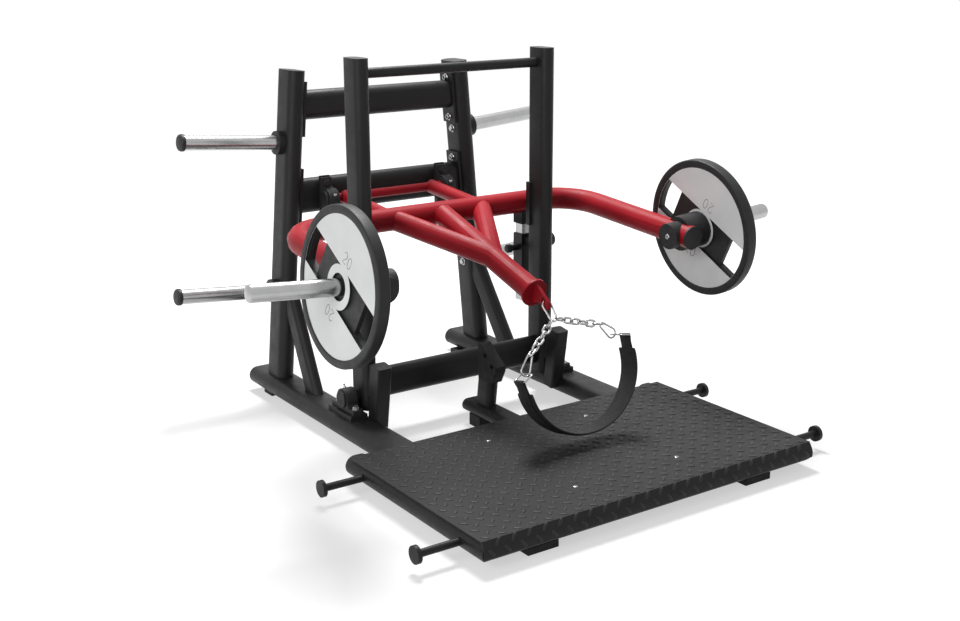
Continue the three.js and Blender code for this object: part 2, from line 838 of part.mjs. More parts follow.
function wearStrip() {
  const tubeFront = yokeBackY - yokeRadius;
  const front = releasePivotY + releaseNose - wearStripFrontInset;
  const depth = tubeFront - wearGap - front;
  return block(
    wearStripThickness + weldOverlap, depth, wearStripTop - wearStripFoot,
    at(releaseInnerX - (wearStripThickness - weldOverlap) / 2, front + depth / 2,
      (wearStripTop + wearStripFoot) / 2),
  );
}

function releaseUpright(name, side) {
  const upright = releaseBar(side);
  const solid = side > 0 ? join(upright, wearStrip()) : upright;
  return piece(`release_upright_${name}`, solid, blackCoat());
}

function releaseShaft(name, side) {
  const start = at(side * (releaseOuterX + seatGap), releasePivotY, releasePivotZ);
  const blockInner = railX - blockWidth / 2 - releaseOuterX - shaftGap - seatGap;
  const capStart = blockInner + blockWidth + 2 * shaftGap;
  const shaft = turned([
    [0, 0],
    [shaftBossRadius, 0],
    [shaftBossRadius, blockInner],
    [shaftRadius, blockInner],
    [shaftRadius, capStart],
    [shaftCapRadius, capStart],
    [shaftCapRadius, capStart + shaftCapThickness],
    [0, capStart + shaftCapThickness],
  ], start, at(side, 0, 0), tubeSides);
  return piece(`release_shaft_${name}`, shaft, castIron());
}

function releaseHandle() {
  const end = releaseInnerX - seatGap;
  const grip = rod(handleRadius, at(-end, releasePivotY, handleZ), at(end, releasePivotY, handleZ),
    tubeSides);
  return piece('release_handle', grip, blackCoat());
}

function releaseCrossbeam() {
  const end = releaseInnerX - seatGap;
  const section = flatOval(releaseBeamTall, releaseThin);
  const beam = bar(section, at(-end, releasePivotY, releaseBeamZ),
    at(end, releasePivotY, releaseBeamZ), zAxis);
  return piece('release_crossbeam', beam, blackCoat());
}

// Start height rest.

function restSleeve() {
  const outline = rectangle(sleeveSize, sleeveSize);
  outline.holes.push(rectangle(sleeveSize - 2 * sleeveWall, sleeveSize - 2 * sleeveWall));
  const tube = bar(outline, at(releaseX, restY, sleeveFoot), at(releaseX, restY, sleeveTop), xAxis);
  const sleeveFront = restY - sleeveSize / 2;
  const lugDepth = sleeveFront - releasePivotY;
  const lugs = [sleeveFoot + sleeveLugInset, sleeveTop - sleeveLugInset].map((z) => cut(
    block(sleeveLugWidth, lugDepth, sleeveLugHeight,
      at(releaseX, sleeveFront + weldOverlap - lugDepth / 2, z)),
    releaseBar(sides.right, seatGap),
  ));
  const sleeveSide = releaseX - sleeveSize / 2;
  const housing = rod(pinHousingRadius, at(sleeveSide + weldOverlap, restY, pinZ),
    at(sleeveSide - pinHousingLength, restY, pinZ));
  const bore = rod(pinBoreRadius, at(sleeveSide - 2 * pinHousingLength, restY, pinZ),
    at(releaseX, restY, pinZ));
  return piece('rest_sleeve', cut(join(tube, ...lugs, housing), bore), blackCoat());
}

function restPost() {
  const size = sleeveSize - 2 * sleeveWall - 2 * slideGap;
  const top = restPadFoot - seatGap;
  const post = block(size, size, top - restPostFoot, at(releaseX, restY, (top + restPostFoot) / 2));
  const slotLength = restTravel + pinSlotWidth;
  const slot = block(
    2 * pinSlotDepth, pinSlotWidth, slotLength,
    at(releaseX - size / 2, restY, pinZ + slotLength / 2 - pinSlotWidth / 2),
  );
  return piece('rest_post', cut(post, slot), chrome());
}

// The pad's top leans midway between square to the line from the frame's hinge to the arm's
// back tube and square to the line to the pad's rear edge, so neither the face nor that edge
// lifts the tube when the frame swings from under it.
function restPad() {
  const half = sleeveSize / 2;
  const leanTo = (y, z) => Math.atan2(y - releasePivotY, z - releasePivotZ);
  const lean = (leanTo(yokeBackY, yokeBackZ) + leanTo(restY + half, yokeBackZ - yokeRadius)) / 2;
  const toTube = at(0, yokeBackY - releasePivotY, yokeBackZ - releasePivotZ);
  const normal = at(0, Math.sin(lean), Math.cos(lean));
  const reach = toTube.dot(normal) - yokeRadius - restPadClearance;
  const topAt = (y) => releasePivotZ + (reach - normal.y * (y - releasePivotY)) / normal.z;
  const outline = polygon([
    [restY - half, restPadFoot],
    [restY + half, restPadFoot],
    [restY + half, topAt(restY + half)],
    [restY - half, topAt(restY - half)],
  ]);
  const pad = bar(outline, at(releaseX - half, 0, 0), at(releaseX + half, 0, 0), yAxis);
  return piece('rest_pad', pad, rubber());
}

function restPin() {
  const sleeveSide = releaseX - sleeveSize / 2;
  const knobEnd = sleeveSide - pinHousingLength - pinKnobGap - pinKnobLength;
  const postFace = sleeveSide + sleeveWall + slideGap;
  const pinLength = postFace + pinTip - knobEnd;
  const pin = turned([
    [0, 0],
    [pinKnobRadius - pinKnobRound, 0],
    [pinKnobRadius, pinKnobRound],
    [pinKnobRadius, pinKnobLength - pinKnobRound],
    [pinKnobRadius - pinKnobRound, pinKnobLength],
    [pinRadius, pinKnobLength],
    [pinRadius, pinLength],
    [0, pinLength],
  ], at(knobEnd, restY, pinZ), xAxis);
  return piece('rest_pin', pin, hardPlastic());
}

// Lever arm.

// The yoke's middle line lies in one sloping plane: straight, a bend, the back tube, a bend,
// straight. Each station has its own place and direction.
class YokePath extends THREE.Curve {
  constructor() {
    super();
    const forward = at(0, -Math.cos(yokeSlope), -Math.sin(yokeSlope));
    const origin = at(0, yokeBackY, yokeBackZ);
    const place = (x, run) => along(at(x, origin.y, origin.z), forward, run);
    const length = (yokeBackY - yokeFrontY) / Math.cos(yokeSlope);
    const bendX = yokeHalfWidth - yokeBendRadius;
    const quarter = Array.from({ length: bendStations + 1 }, (_, step) => (
      (Math.PI / 2) * (step / bendStations)
    ));
    const right = quarter.map((turn) => ({
      point: place(bendX + yokeBendRadius * Math.sin(turn),
        yokeBendRadius * (1 - Math.cos(turn))),
      tangent: xAxis.clone().multiplyScalar(Math.cos(turn)).addScaledVector(forward, Math.sin(turn)),
    }));
    right.push({ point: place(yokeHalfWidth, length), tangent: forward.clone() });
    const left = right.map(({ point, tangent }) => ({
      point: at(-point.x, point.y, point.z),
      tangent: at(tangent.x, -tangent.y, -tangent.z),
    })).reverse();
    this.stations = [...left, ...right];
  }

  getUtoTmapping(u) {
    return u;
  }

  between(t, key) {
    const spot = THREE.MathUtils.clamp(t, 0, 1) * (this.stations.length - 1);
    const index = Math.min(Math.floor(spot), this.stations.length - 2);
    return this.stations[index][key].clone().lerp(this.stations[index + 1][key], spot - index);
  }

  getPoint(t) {
    return this.between(t, 'point');
  }

  getTangent(t) {
    return this.between(t, 'tangent').normalize();
  }
}

function circle(radius) {
  return new THREE.Shape().absarc(0, 0, radius, 0, 2 * Math.PI);
}

function yokeTube(clearance = 0) {
  const path = new YokePath();
  return new THREE.ExtrudeGeometry(circle(yokeRadius + clearance), {
    steps: path.stations.length - 1, extrudePath: path, bevelEnabled: false,
    curveSegments: barSides / 2,
  });
}

function plateHornAxis(side) {
  return at(side * Math.cos(plateHornTilt), 0, Math.sin(plateHornTilt));
}

function plateHornPoint(side, distance) {
  return along(at(side * yokeHalfWidth, plateHornY, plateHornZ), plateHornAxis(side), distance);
}

function hornBore(side) {
  return rod(plateHornShaftRadius + seatGap, plateHornPoint(side, -plateHornShaftInset - seatGap),
    plateHornPoint(side, collarTo + seatGap), tubeSides);
}

function armYoke() {
  const bores = Object.values(sides).map(hornBore);
  return piece('arm_yoke', cut(yokeTube(), ...bores), redCoat());
}

function endPlugRod(side, length, clearance = 0) {
  const forward = at(0, -Math.cos(yokeSlope), -Math.sin(yokeSlope));
  const end = at(side * yokeHalfWidth, yokeFrontY,
    yokeBackZ - (yokeBackY - yokeFrontY) * Math.tan(yokeSlope));
  const start = along(end, forward, seatGap - 2 * clearance);
  return rod(plugRadius + clearance, start, along(start, forward, length), tubeSides);
}

function armEndPlug(name, side) {
  return piece(`arm_end_plug_${name}`, endPlugRod(side, plugThickness), hardPlastic());
}

// The axle turns in the arm's pillow blocks and two links tie it to the back tube.
function armPivotFrame() {
  const tubeEnd = armBlockX - blockWidth / 2 - axleEndGap;
  const capStart = armBlockX + blockWidth / 2 + shaftGap;
  const capEnd = capStart + shaftCapThickness;
  const half = [
    [axleTubeRadius, tubeEnd],
    [shaftRadius, tubeEnd],
    [shaftRadius, capStart],
    [shaftCapRadius, capStart],
    [shaftCapRadius, capEnd],
    [0, capEnd],
  ];
  const mirrored = half.map(([radius, distance]) => [radius, -distance]).reverse();
  const axle = turned([...mirrored, ...half], at(0, armPivotY, armPivotZ), xAxis, tubeSides);
  const links = Object.values(sides).map((side) => {
    const start = at(side * linkX, armPivotY, armPivotZ);
    const end = at(side * linkX, yokeBackY, yokeBackZ);
    const direction = end.clone().sub(start).normalize();
    return cut(rod(linkRadius, start, along(end, direction, -memberStandoff), tubeSides),
      yokeTube(seatGap));
  });
  return piece('arm_pivot_frame', join(axle, ...links), redCoat());
}

function boomDirection() {
  return at(0, boomEndY - boomBackY, boomEndZ - boomBackZ).normalize();
}

// The hook plate's side view: from the boom's end disc past the hole to a tongue that points
// the way the belt pulls.
function hookPlate() {
  const forward = boomDirection();
  const upward = at(1, 0, 0).cross(forward).negate();
  const root = at(0, boomEndY, boomEndZ);
  const toEye = at(0, hookY, hookZ).sub(root);
  const hole = new THREE.Vector2(toEye.dot(forward), toEye.dot(upward));
  const pull = hookLinkRun();
  const turn = Math.atan2(pull.dot(upward), pull.dot(forward));
  const quarter = Math.PI / 2;
  const from = (distance, angle) => (
    new THREE.Vector2(distance, 0).rotateAround(new THREE.Vector2(), angle).add(hole)
  );
  const eye = from(hookTongue, turn);
  const waist = from(hookEyeRadius, turn - quarter);
  const outline = new THREE.Shape();
  outline.moveTo(-weldOverlap, -hookRootFoot);
  outline.lineTo(0, -hookRootFoot);
  outline.lineTo(waist.x, waist.y);
  outline.absarc(eye.x, eye.y, hookEyeRadius, turn - quarter, turn + quarter);
  outline.lineTo(0, hookRootTop);
  outline.lineTo(-weldOverlap, hookRootTop);
  outline.holes.push(
    new THREE.Path().absarc(hole.x, hole.y, hookHoleRadius, 0, 2 * Math.PI),
  );
  const plate = new THREE.ExtrudeGeometry(outline, {
    depth: hookThickness, bevelEnabled: false, curveSegments: barSides / 2,
  });
  const across = forward.clone().cross(upward);
  const start = along(root, across, -hookThickness / 2);
  const frame = new THREE.Matrix4().makeBasis(forward, upward, across).setPosition(start);
  return plate.applyMatrix4(frame);
}

function armBoom() {
  const forward = boomDirection();
  const back = at(0, boomBackY, boomBackZ);
  const end = at(0, boomEndY, boomEndZ);
  const boom = rod(boomRadius, along(back, forward, memberStandoff), end, tubeSides);
  const disc = rod(boomDiscRadius, along(end, forward, -boomDiscThickness), end, tubeSides);
  const struts = Object.values(sides).map((side) => {
    const start = at(side * linkX, yokeBackY, yokeBackZ);
    const strutEnd = at(0, strutEndY, strutEndZ);
    const direction = strutEnd.clone().sub(start).normalize();
    return rod(strutRadius, along(start, direction, memberStandoff), strutEnd);
  });
  const welded = join(cut(join(boom, ...struts), yokeTube(seatGap)), disc, hookPlate());
  return piece('arm_boom', welded, redCoat());
}

// Plate horns, collars and weight plates.

function plateHorn(name, side) {
  const sleeveStart = collarTo + seatGap;
  const horn = turned([
    [0, -plateHornShaftInset],
    [plateHornShaftRadius, -plateHornShaftInset],
    [plateHornShaftRadius, sleeveStart],
    [hornRadius, sleeveStart],
    ...roundedEdge(hornRadius, plateHornTip, plateHornRound),
    [0, plateHornTip],
  ], plateHornPoint(side, 0), plateHornAxis(side), tubeSides);
  return piece(`plate_horn_${name}`, horn, chrome());
}

function innerCap(name, side) {
  const cap = rod(innerCapRadius, plateHornPoint(side, -innerCapFrom),
    plateHornPoint(side, -innerCapTo), tubeSides);
  return piece(`horn_inner_cap_${name}`, cut(cap, yokeTube(seatGap), hornBore(side)), hardPlastic());
}

function hornCollar(name, side) {
  const collar = rod(collarRadius, plateHornPoint(side, -collarFrom),
    plateHornPoint(side, collarTo), tubeSides);
  const plugWay = endPlugRod(side, collarRadius, seatGap);
  return piece(`horn_collar_${name}`,
    cut(collar, yokeTube(seatGap), hornBore(side), plugWay), hardPlastic());
}

// The plate's half section: bore, counterbore, sunk face and raised rim.
function plateProfile() {
  const top = plateThickness;
  const face = top - plateFaceInset;
  const rimInner = plateRadius - plateRimWidth;
  const upper = [
    [plateBoreRadius, top - plateCounterboreDepth],
    [plateCounterboreRadius, top - plateCounterboreDepth],
    [plateCounterboreRadius, face],
    [rimInner, face],
    [rimInner, top],
    [plateRadius, top],
  ];
  const lower = upper.map(([radius, distance]) => [radius, top - distance]).reverse();
  return [...lower, ...upper, lower[0]];
}

function weightPlate(name, side) {
  const axis = plateHornAxis(side);
  const start = plateHornPoint(side, collarTo + seatGap);
  const end = along(start, axis, plateThickness);
  const disc = turned(plateProfile(), start, axis, plateSides);
  const upward = at(-side * Math.sin(plateHornTilt), 0, Math.cos(plateHornTilt));
  const bandwise = yAxis.clone().multiplyScalar(Math.cos(plateBandTurn))
    .addScaledVector(upward, Math.sin(plateBandTurn));
  const inner = plateRadius - plateRimWidth;
  const band = bar(rectangle(2 * inner, 2 * plateBandHalfWidth),
    along(start, axis, -plateThickness), along(end, axis, plateThickness), bandwise);
  const core = rod(plateRadius + plateRimWidth, along(start, axis, plateBandInset),
    along(end, axis, -plateBandInset), plateSides);
  const past = (radius) => rod(radius, along(start, axis, -plateThickness),
    along(end, axis, plateThickness), plateSides);
  const ring = cut(past(inner - plateBandMargin), past(plateHubRadius));
  const recess = cut(common(band, ring), core);
  const windows = [-1, 1].map((way) => {
    const centre = along(start, bandwise, (way * (windowFrom + inner)) / 2);
    const slot = bar(rectangle(inner - windowFrom, 2 * (plateBandHalfWidth - windowMargin)),
      along(centre, axis, -plateThickness), along(centre, axis, 2 * plateThickness), bandwise);
    return common(slot, past(inner - windowMargin));
  });
  return piece(`weight_plate_${name}`, cut(disc, recess, ...windows), plateCoat());
}

// Chain, snap hooks and belt.

// A closed ring of round wire with straight sides, long along its own X. Its facets stand on
// the sides and ends, so that the ring has its full length and width.
function wireRing(length, width, wire, corner = width / 2) {
  const radius = (corner - wire / 2) / Math.cos(Math.PI / linkStations);
  const ring = new THREE.TorusGeometry(radius, wire / 2, wireSides, linkStations);
  ring.rotateZ(Math.PI / linkStations);
  const places = ring.attributes.position;
  const [stretchX, stretchY] = [length / 2 - corner, width / 2 - corner];
  for (let i = 0; i < places.count; i += 1) {
    places.setX(i, places.getX(i) + Math.sign(places.getX(i)) * stretchX);
    places.setY(i, places.getY(i) + Math.sign(places.getY(i)) * stretchY);
  }
  return ring;
}

function placedRing(ring, centre, lengthways, widthways) {
  const x = lengthways.clone().normalize();
  const z = x.clone().cross(widthways).normalize();
  const y = z.clone().cross(x);
  return ring.applyMatrix4(new THREE.Matrix4().makeBasis(x, y, z).setPosition(centre));
}

function hookLinkRun() {
  return at(0, -Math.cos(hookLinkDive), -Math.sin(hookLinkDive));
}

// All places of the chain and belt are measured from the middle of the hook's hole.
function hookLinkCentre() {
  const askew = (hookThickness / 2) * Math.abs(Math.sin(beltRoll));
  const lift = hookHoleRadius - hookLink.wire / 2 - askew - 2 * seatGap;
  return at(0, 0, 0).addScaledVector(hookLinkRun(), hookLink.length / 2 - hookLink.wire / 2 + lift);
}

function hookRing() {
  const ring = wireRing(hookLink.length, hookLink.width, hookLink.wire, hookLink.corner);
  return piece('hook_snap_link', placedRing(ring, hookLinkCentre(), hookLinkRun(), xAxis), chrome());
}

// A slack chain: its course flattens from the first link to the last.
function linkDirection(side, index) {
  const start = at(side * chainStartRun.x, chainStartRun.y, chainStartRun.z).normalize();
  const end = at(side * chainEndRun.x, chainEndRun.y, chainEndRun.z).normalize();
  return start.lerp(end, index / (chainLinkCount - 1)).normalize();
}

function chainStart(side) {
  const bend = hookLink.corner - hookLink.wire / 2;
  const run = hookLink.length / 2 - hookLink.corner + bend * Math.sin(hookLinkTurn);
  const spread = hookLink.width / 2 - hookLink.corner + bend * Math.cos(hookLinkTurn);
  return along(along(hookLinkCentre(), hookLinkRun(), run), xAxis, side * spread);
}

function linkCentre(side, index) {
  const inner = chainLink.length / 2 - chainLink.wire;
  const centre = along(chainStart(side), linkDirection(side, 0),
    inner - hookLink.wire / 2 - seatGap);
  for (let link = 0; link < index; link += 1) {
    centre.addScaledVector(linkDirection(side, link), inner + chainBite / 2);
    centre.addScaledVector(linkDirection(side, link + 1), inner + chainBite / 2);
  }
  return centre;
}

// The first link stands square to the wire that it hangs on; each next one is a quarter turn
// on, and the whole chain twists until its last link stands square to the snap link.
function chain(name, side) {
  const bendwise = at(side * Math.sin(hookLinkTurn), 0, 0)
    .addScaledVector(hookLinkRun(), -Math.cos(hookLinkTurn));
  const turn = Math.PI / 2 + (side * chainTwist) / (chainLinkCount - 1);
  const links = Array.from({ length: chainLinkCount }, (_, index) => {
    const direction = linkDirection(side, index);
    const across = bendwise.clone().cross(direction).normalize();
    return placedRing(
      wireRing(chainLink.length, chainLink.width, chainLink.wire), linkCentre(side, index),
      direction, across.applyAxisAngle(direction, index * turn),
    );
  });
  return piece(`belt_chain_${name}`, join(...links), chrome());
}

function ringDirection(side) {
  return at(-side * ringLean.inward, 0, 0).addScaledVector(beltDown(), -ringLean.up).normalize();
}

function ringFarSide(side) {
  const middle = along(beltPoint(side * strapTopX, -strapTopRise), ringDirection(side),
    ringWidth - ringWire);
  return along(middle, beltAcross(), -ringSlide);
}

// A snap link is as long as the way from the chain's last link to the ring asks for.
function snapHook(name, side) {
  const last = chainLinkCount - 1;
  const lastTip = along(linkCentre(side, last), linkDirection(side, last),
    chainLink.length / 2 - chainLink.wire);
  const pull = ringFarSide(side).sub(lastTip).normalize().add(linkDirection(side, last));
  const near = along(lastTip, pull.normalize(), -snapWire / 2 - snapGap);
  const run = ringFarSide(side).sub(near);
  const length = run.length() + snapWire + (snapWire + ringWire) / 2 + seatGap;
  const ring = wireRing(length, snapWidth, snapWire);
  const direction = run.normalize();
  const centre = along(near, direction, (length - snapWire) / 2);
  const widthways = beltAcross().cross(direction);
  return piece(`belt_snap_link_${name}`, placedRing(ring, centre, direction, widthways), chrome());
}

// The belt lies in a plane that leans forward at the bottom; its width stands square to it.
function beltAcross() {
  return at(0, -Math.cos(beltTilt), Math.sin(beltTilt));
}

function beltDown() {
  return at(0, -Math.sin(beltTilt), -Math.cos(beltTilt));
}

function beltPoint(x, down) {
  return at(x, beltCentreY, beltCentreZ).addScaledVector(beltDown(), down);
}

function beltRing(name, side) {
  const centre = beltPoint(side * strapTopX, -strapTopRise)
    .addScaledVector(ringDirection(side), (ringWidth - ringWire) / 2);
  const ring = wireRing(ringLength, ringWidth, ringWire, (ringLength - strapWidth) / 2);
  return piece(`belt_ring_${name}`,
    placedRing(ring, centre, beltAcross(), ringDirection(side)), chrome());
}

function beltBand(points, width, thickness) {
  const outline = (offset) => points.map(({ x, down, normalX, normalDown }) => (
    [x + offset * normalX, down + offset * normalDown]
  ));
  const shape = polygon([...outline(thickness / 2), ...outline(-thickness / 2).reverse()]);
  const geometry = new THREE.ExtrudeGeometry(shape, { depth: width, bevelEnabled: false });
  const start = along(beltPoint(0, 0), beltAcross(), -width / 2);
  const frame = new THREE.Matrix4().makeBasis(xAxis, beltDown(), beltAcross()).setPosition(start);
  return geometry.applyMatrix4(frame);
}

function beltCurve() {
  return Array.from({ length: beltStations + 1 }, (_, step) => {
    const turn = Math.PI * (step / beltStations);
    const normal = new THREE.Vector2(
      Math.cos(turn) / beltRadiusX, Math.sin(turn) / beltRadiusZ,
    ).normalize();
    return {
      x: beltRadiusX * Math.cos(turn), down: beltRadiusZ * Math.sin(turn),
      normalX: normal.x, normalDown: normal.y,
    };
  });
}

function strapEnd(side) {
  const station = (x, down) => ({ x: side * x, down, normalX: side, normalDown: 0 });
  const overlap = beltThickness;
  const loopLow = -strapTopRise + (strapLoopRadius + ringWire / 2 + seatGap) / 2;
  const strip = beltBand([station(beltRadiusX, overlap), station(strapTopX, loopLow)],
    strapWidth, strapThickness);
  const wireCentre = beltPoint(side * strapTopX, -strapTopRise);
  const from = along(wireCentre, beltAcross(), -strapWidth / 2);
  const to = along(wireCentre, beltAcross(), strapWidth / 2);
  const past = (point, turn) => along(point, beltAcross(), turn * strapWidth);
  const loop = rod(strapLoopRadius, from, to);
  const hollow = rod(ringWire / 2 + seatGap, past(from, -1), past(to, 1));
  return { solid: [strip, loop], hollow };
}

function belt() {
  const ends = Object.values(sides).map(strapEnd);
  const band = beltBand(beltCurve(), beltWidth, beltThickness);
  const body = join(band, ...ends.flatMap(({ solid }) => solid));
  return piece('belt', cut(body, ...ends.map(({ hollow }) => hollow)), webbing());
}

// The whole machine.

function groupOf(...meshes) {
  const group = new THREE.Group();
  group.add(...meshes.flat());
  return group;
}

function baseGroup() {
  return groupOf(
    forBothSides(baseRail), floorFeet(), platformFrame(), treadPlate(),
    centreStand(), centreBumper(),
    forBothSides(rearUpright), forBothSides(rearBrace), upperCrossbeam(), lowerCrossbeam(),
    Object.entries(hornHeights).flatMap(([row, height]) => forBothSides(
      (name, side) => storageHorn(name, side, row, height),
    )),
    forBothSides(basePillowBlock), forBothSides(armPillowBlock),
    forBothSides(stopPost), forBothSides(stopPad),
  );
}

function releaseGroup() {
  return groupOf(
    forBothSides(releaseUpright), forBothSides(releaseShaft), releaseHandle(),
    releaseCrossbeam(), restSleeve(), restPost(), restPad(), restPin(),
  );
}

function armGroup() {
  return groupOf(
    armYoke(), forBothSides(armEndPlug), armPivotFrame(), armBoom(),
    forBothSides(plateHorn), forBothSides(innerCap), forBothSides(hornCollar),
    forBothSides(weightPlate),
  );
}

function beltGroup() {
  const group = groupOf(
    hookRing(), forBothSides(chain), forBothSides(snapHook), forBothSides(beltRing), belt(),
  );
  group.position.set(0, hookY, hookZ);
  group.rotation.y = beltRoll;
  return group;
}

const machine = groupOf(baseGroup(), releaseGroup(), armGroup(), beltGroup());
machine.position.y = -machineMiddleY;

export default machine;
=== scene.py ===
"""Finishes, made pieces and studio of a plate loaded belt squat machine.

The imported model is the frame. Its nodes get procedural finishes, and the pieces that need a
finer shape than the frame has are built here as meshes: tread lugs, fasteners, weight plates,
end caps, snap links, chains and the hip belt. Lengths are in metres. Angles are in radians,
apart from those from which an edge stays sharp, in degrees.
"""

from __future__ import annotations

import json
import logging
import math
from collections.abc import Iterable, Iterator, Sequence
from dataclasses import dataclass, field
from enum import Enum

import bmesh
import bpy
import numpy as np
from mathutils import Matrix, Vector

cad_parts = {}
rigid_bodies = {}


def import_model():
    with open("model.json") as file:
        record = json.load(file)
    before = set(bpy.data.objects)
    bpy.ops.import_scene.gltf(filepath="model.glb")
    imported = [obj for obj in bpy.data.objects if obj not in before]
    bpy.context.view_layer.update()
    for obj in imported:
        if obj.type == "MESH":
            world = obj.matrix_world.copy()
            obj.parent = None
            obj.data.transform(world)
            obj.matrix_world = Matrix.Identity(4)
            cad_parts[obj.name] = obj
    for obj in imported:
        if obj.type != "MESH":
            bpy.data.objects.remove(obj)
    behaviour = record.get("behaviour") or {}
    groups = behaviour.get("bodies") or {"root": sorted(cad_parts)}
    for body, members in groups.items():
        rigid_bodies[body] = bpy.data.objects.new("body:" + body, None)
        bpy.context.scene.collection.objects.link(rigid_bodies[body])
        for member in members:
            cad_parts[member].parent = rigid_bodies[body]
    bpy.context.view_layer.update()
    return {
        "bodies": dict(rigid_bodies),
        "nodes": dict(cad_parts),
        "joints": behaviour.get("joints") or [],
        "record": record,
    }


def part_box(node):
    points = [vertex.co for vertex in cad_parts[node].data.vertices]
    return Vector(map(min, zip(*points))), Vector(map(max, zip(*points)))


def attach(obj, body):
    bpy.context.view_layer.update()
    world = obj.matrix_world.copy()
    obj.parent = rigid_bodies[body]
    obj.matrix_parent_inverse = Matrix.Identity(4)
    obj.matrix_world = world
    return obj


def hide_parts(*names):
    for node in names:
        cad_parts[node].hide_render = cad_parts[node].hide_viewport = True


log = logging.getLogger("belt_squat")

MIDDLE_Y = 0.13185  # the frame's origin lies this far behind the tread plate's rear edge
AXIS_X = Vector((1.0, 0.0, 0.0))
AXIS_Y = Vector((0.0, 1.0, 0.0))
AXIS_Z = Vector((0.0, 0.0, 1.0))
SIDES = {"left": -1, "right": 1}
HOOK = Vector((0.0, -0.27785, 0.5015))  # middle of the hook plate's hole
BELT_ROLL = math.radians(-10.6)  # how far the belt set hangs askew about Y
TREAD_TOP = 0.0853
NOISE_LOW = 0.3  # the noise pattern seldom leaves these two values
NOISE_HIGH = 0.7
COARSE = 2.0  # octaves of a noise pattern
MEDIUM = 3.0
FINE = 4.0
FINEST = 5.0
MIX_COLOURS = (6, 7)  # a mix node's two colour inputs


class Slot(Enum):
    """Material slots of the record, and three finishes more: tread lugs, plate paint, digits."""

    BLACK_COAT = "black_coat"
    TREAD_COAT = "tread_coat"
    LUG_COAT = "lug_coat"
    RED_COAT = "red_coat"
    CHROME = "chrome"
    CAST_IRON = "cast_iron"
    RUBBER = "rubber"
    HARD_PLASTIC = "hard_plastic"
    PLATE_COAT = "plate_coat"
    WEBBING = "webbing"
    PLATE_PAINT = "plate_paint"
    DIGIT_PAINT = "digit_paint"


class Body(Enum):
    """Bodies of the frame that made pieces ride on."""

    BASE = "base"
    LEVER_ARM = "lever_arm"
    PLATE_LEFT = "plate_left"
    PLATE_RIGHT = "plate_right"
    BELT_SET = "belt_set"


def add_node(tree: bpy.types.NodeTree, kind: str, **settings: object) -> bpy.types.Node:
    """Adds a node to a tree.

    Args:
        tree: Where it goes.
        kind: Node type name.
        **settings: Properties of the node.

    Returns:
        The new node.
    """
    made = tree.nodes.new(kind)
    for key, value in settings.items():
        setattr(made, key, value)
    return made


def linear_colour(code: str) -> tuple[float, float, float, float]:
    """Turns a display colour into scene-linear values.

    Args:
        code: Six hexadecimal digits, such as "a5222d".

    Returns:
        Red, green, blue and an opacity of one.
    """
    # The curve that display colours are stored with.
    parts = [int(code[at : at + 2], 16) / 255 for at in (0, 2, 4)]
    linear = [p / 12.92 if p <= 0.04045 else ((p + 0.055) / 1.055) ** 2.4 for p in parts]
    return (linear[0], linear[1], linear[2], 1.0)


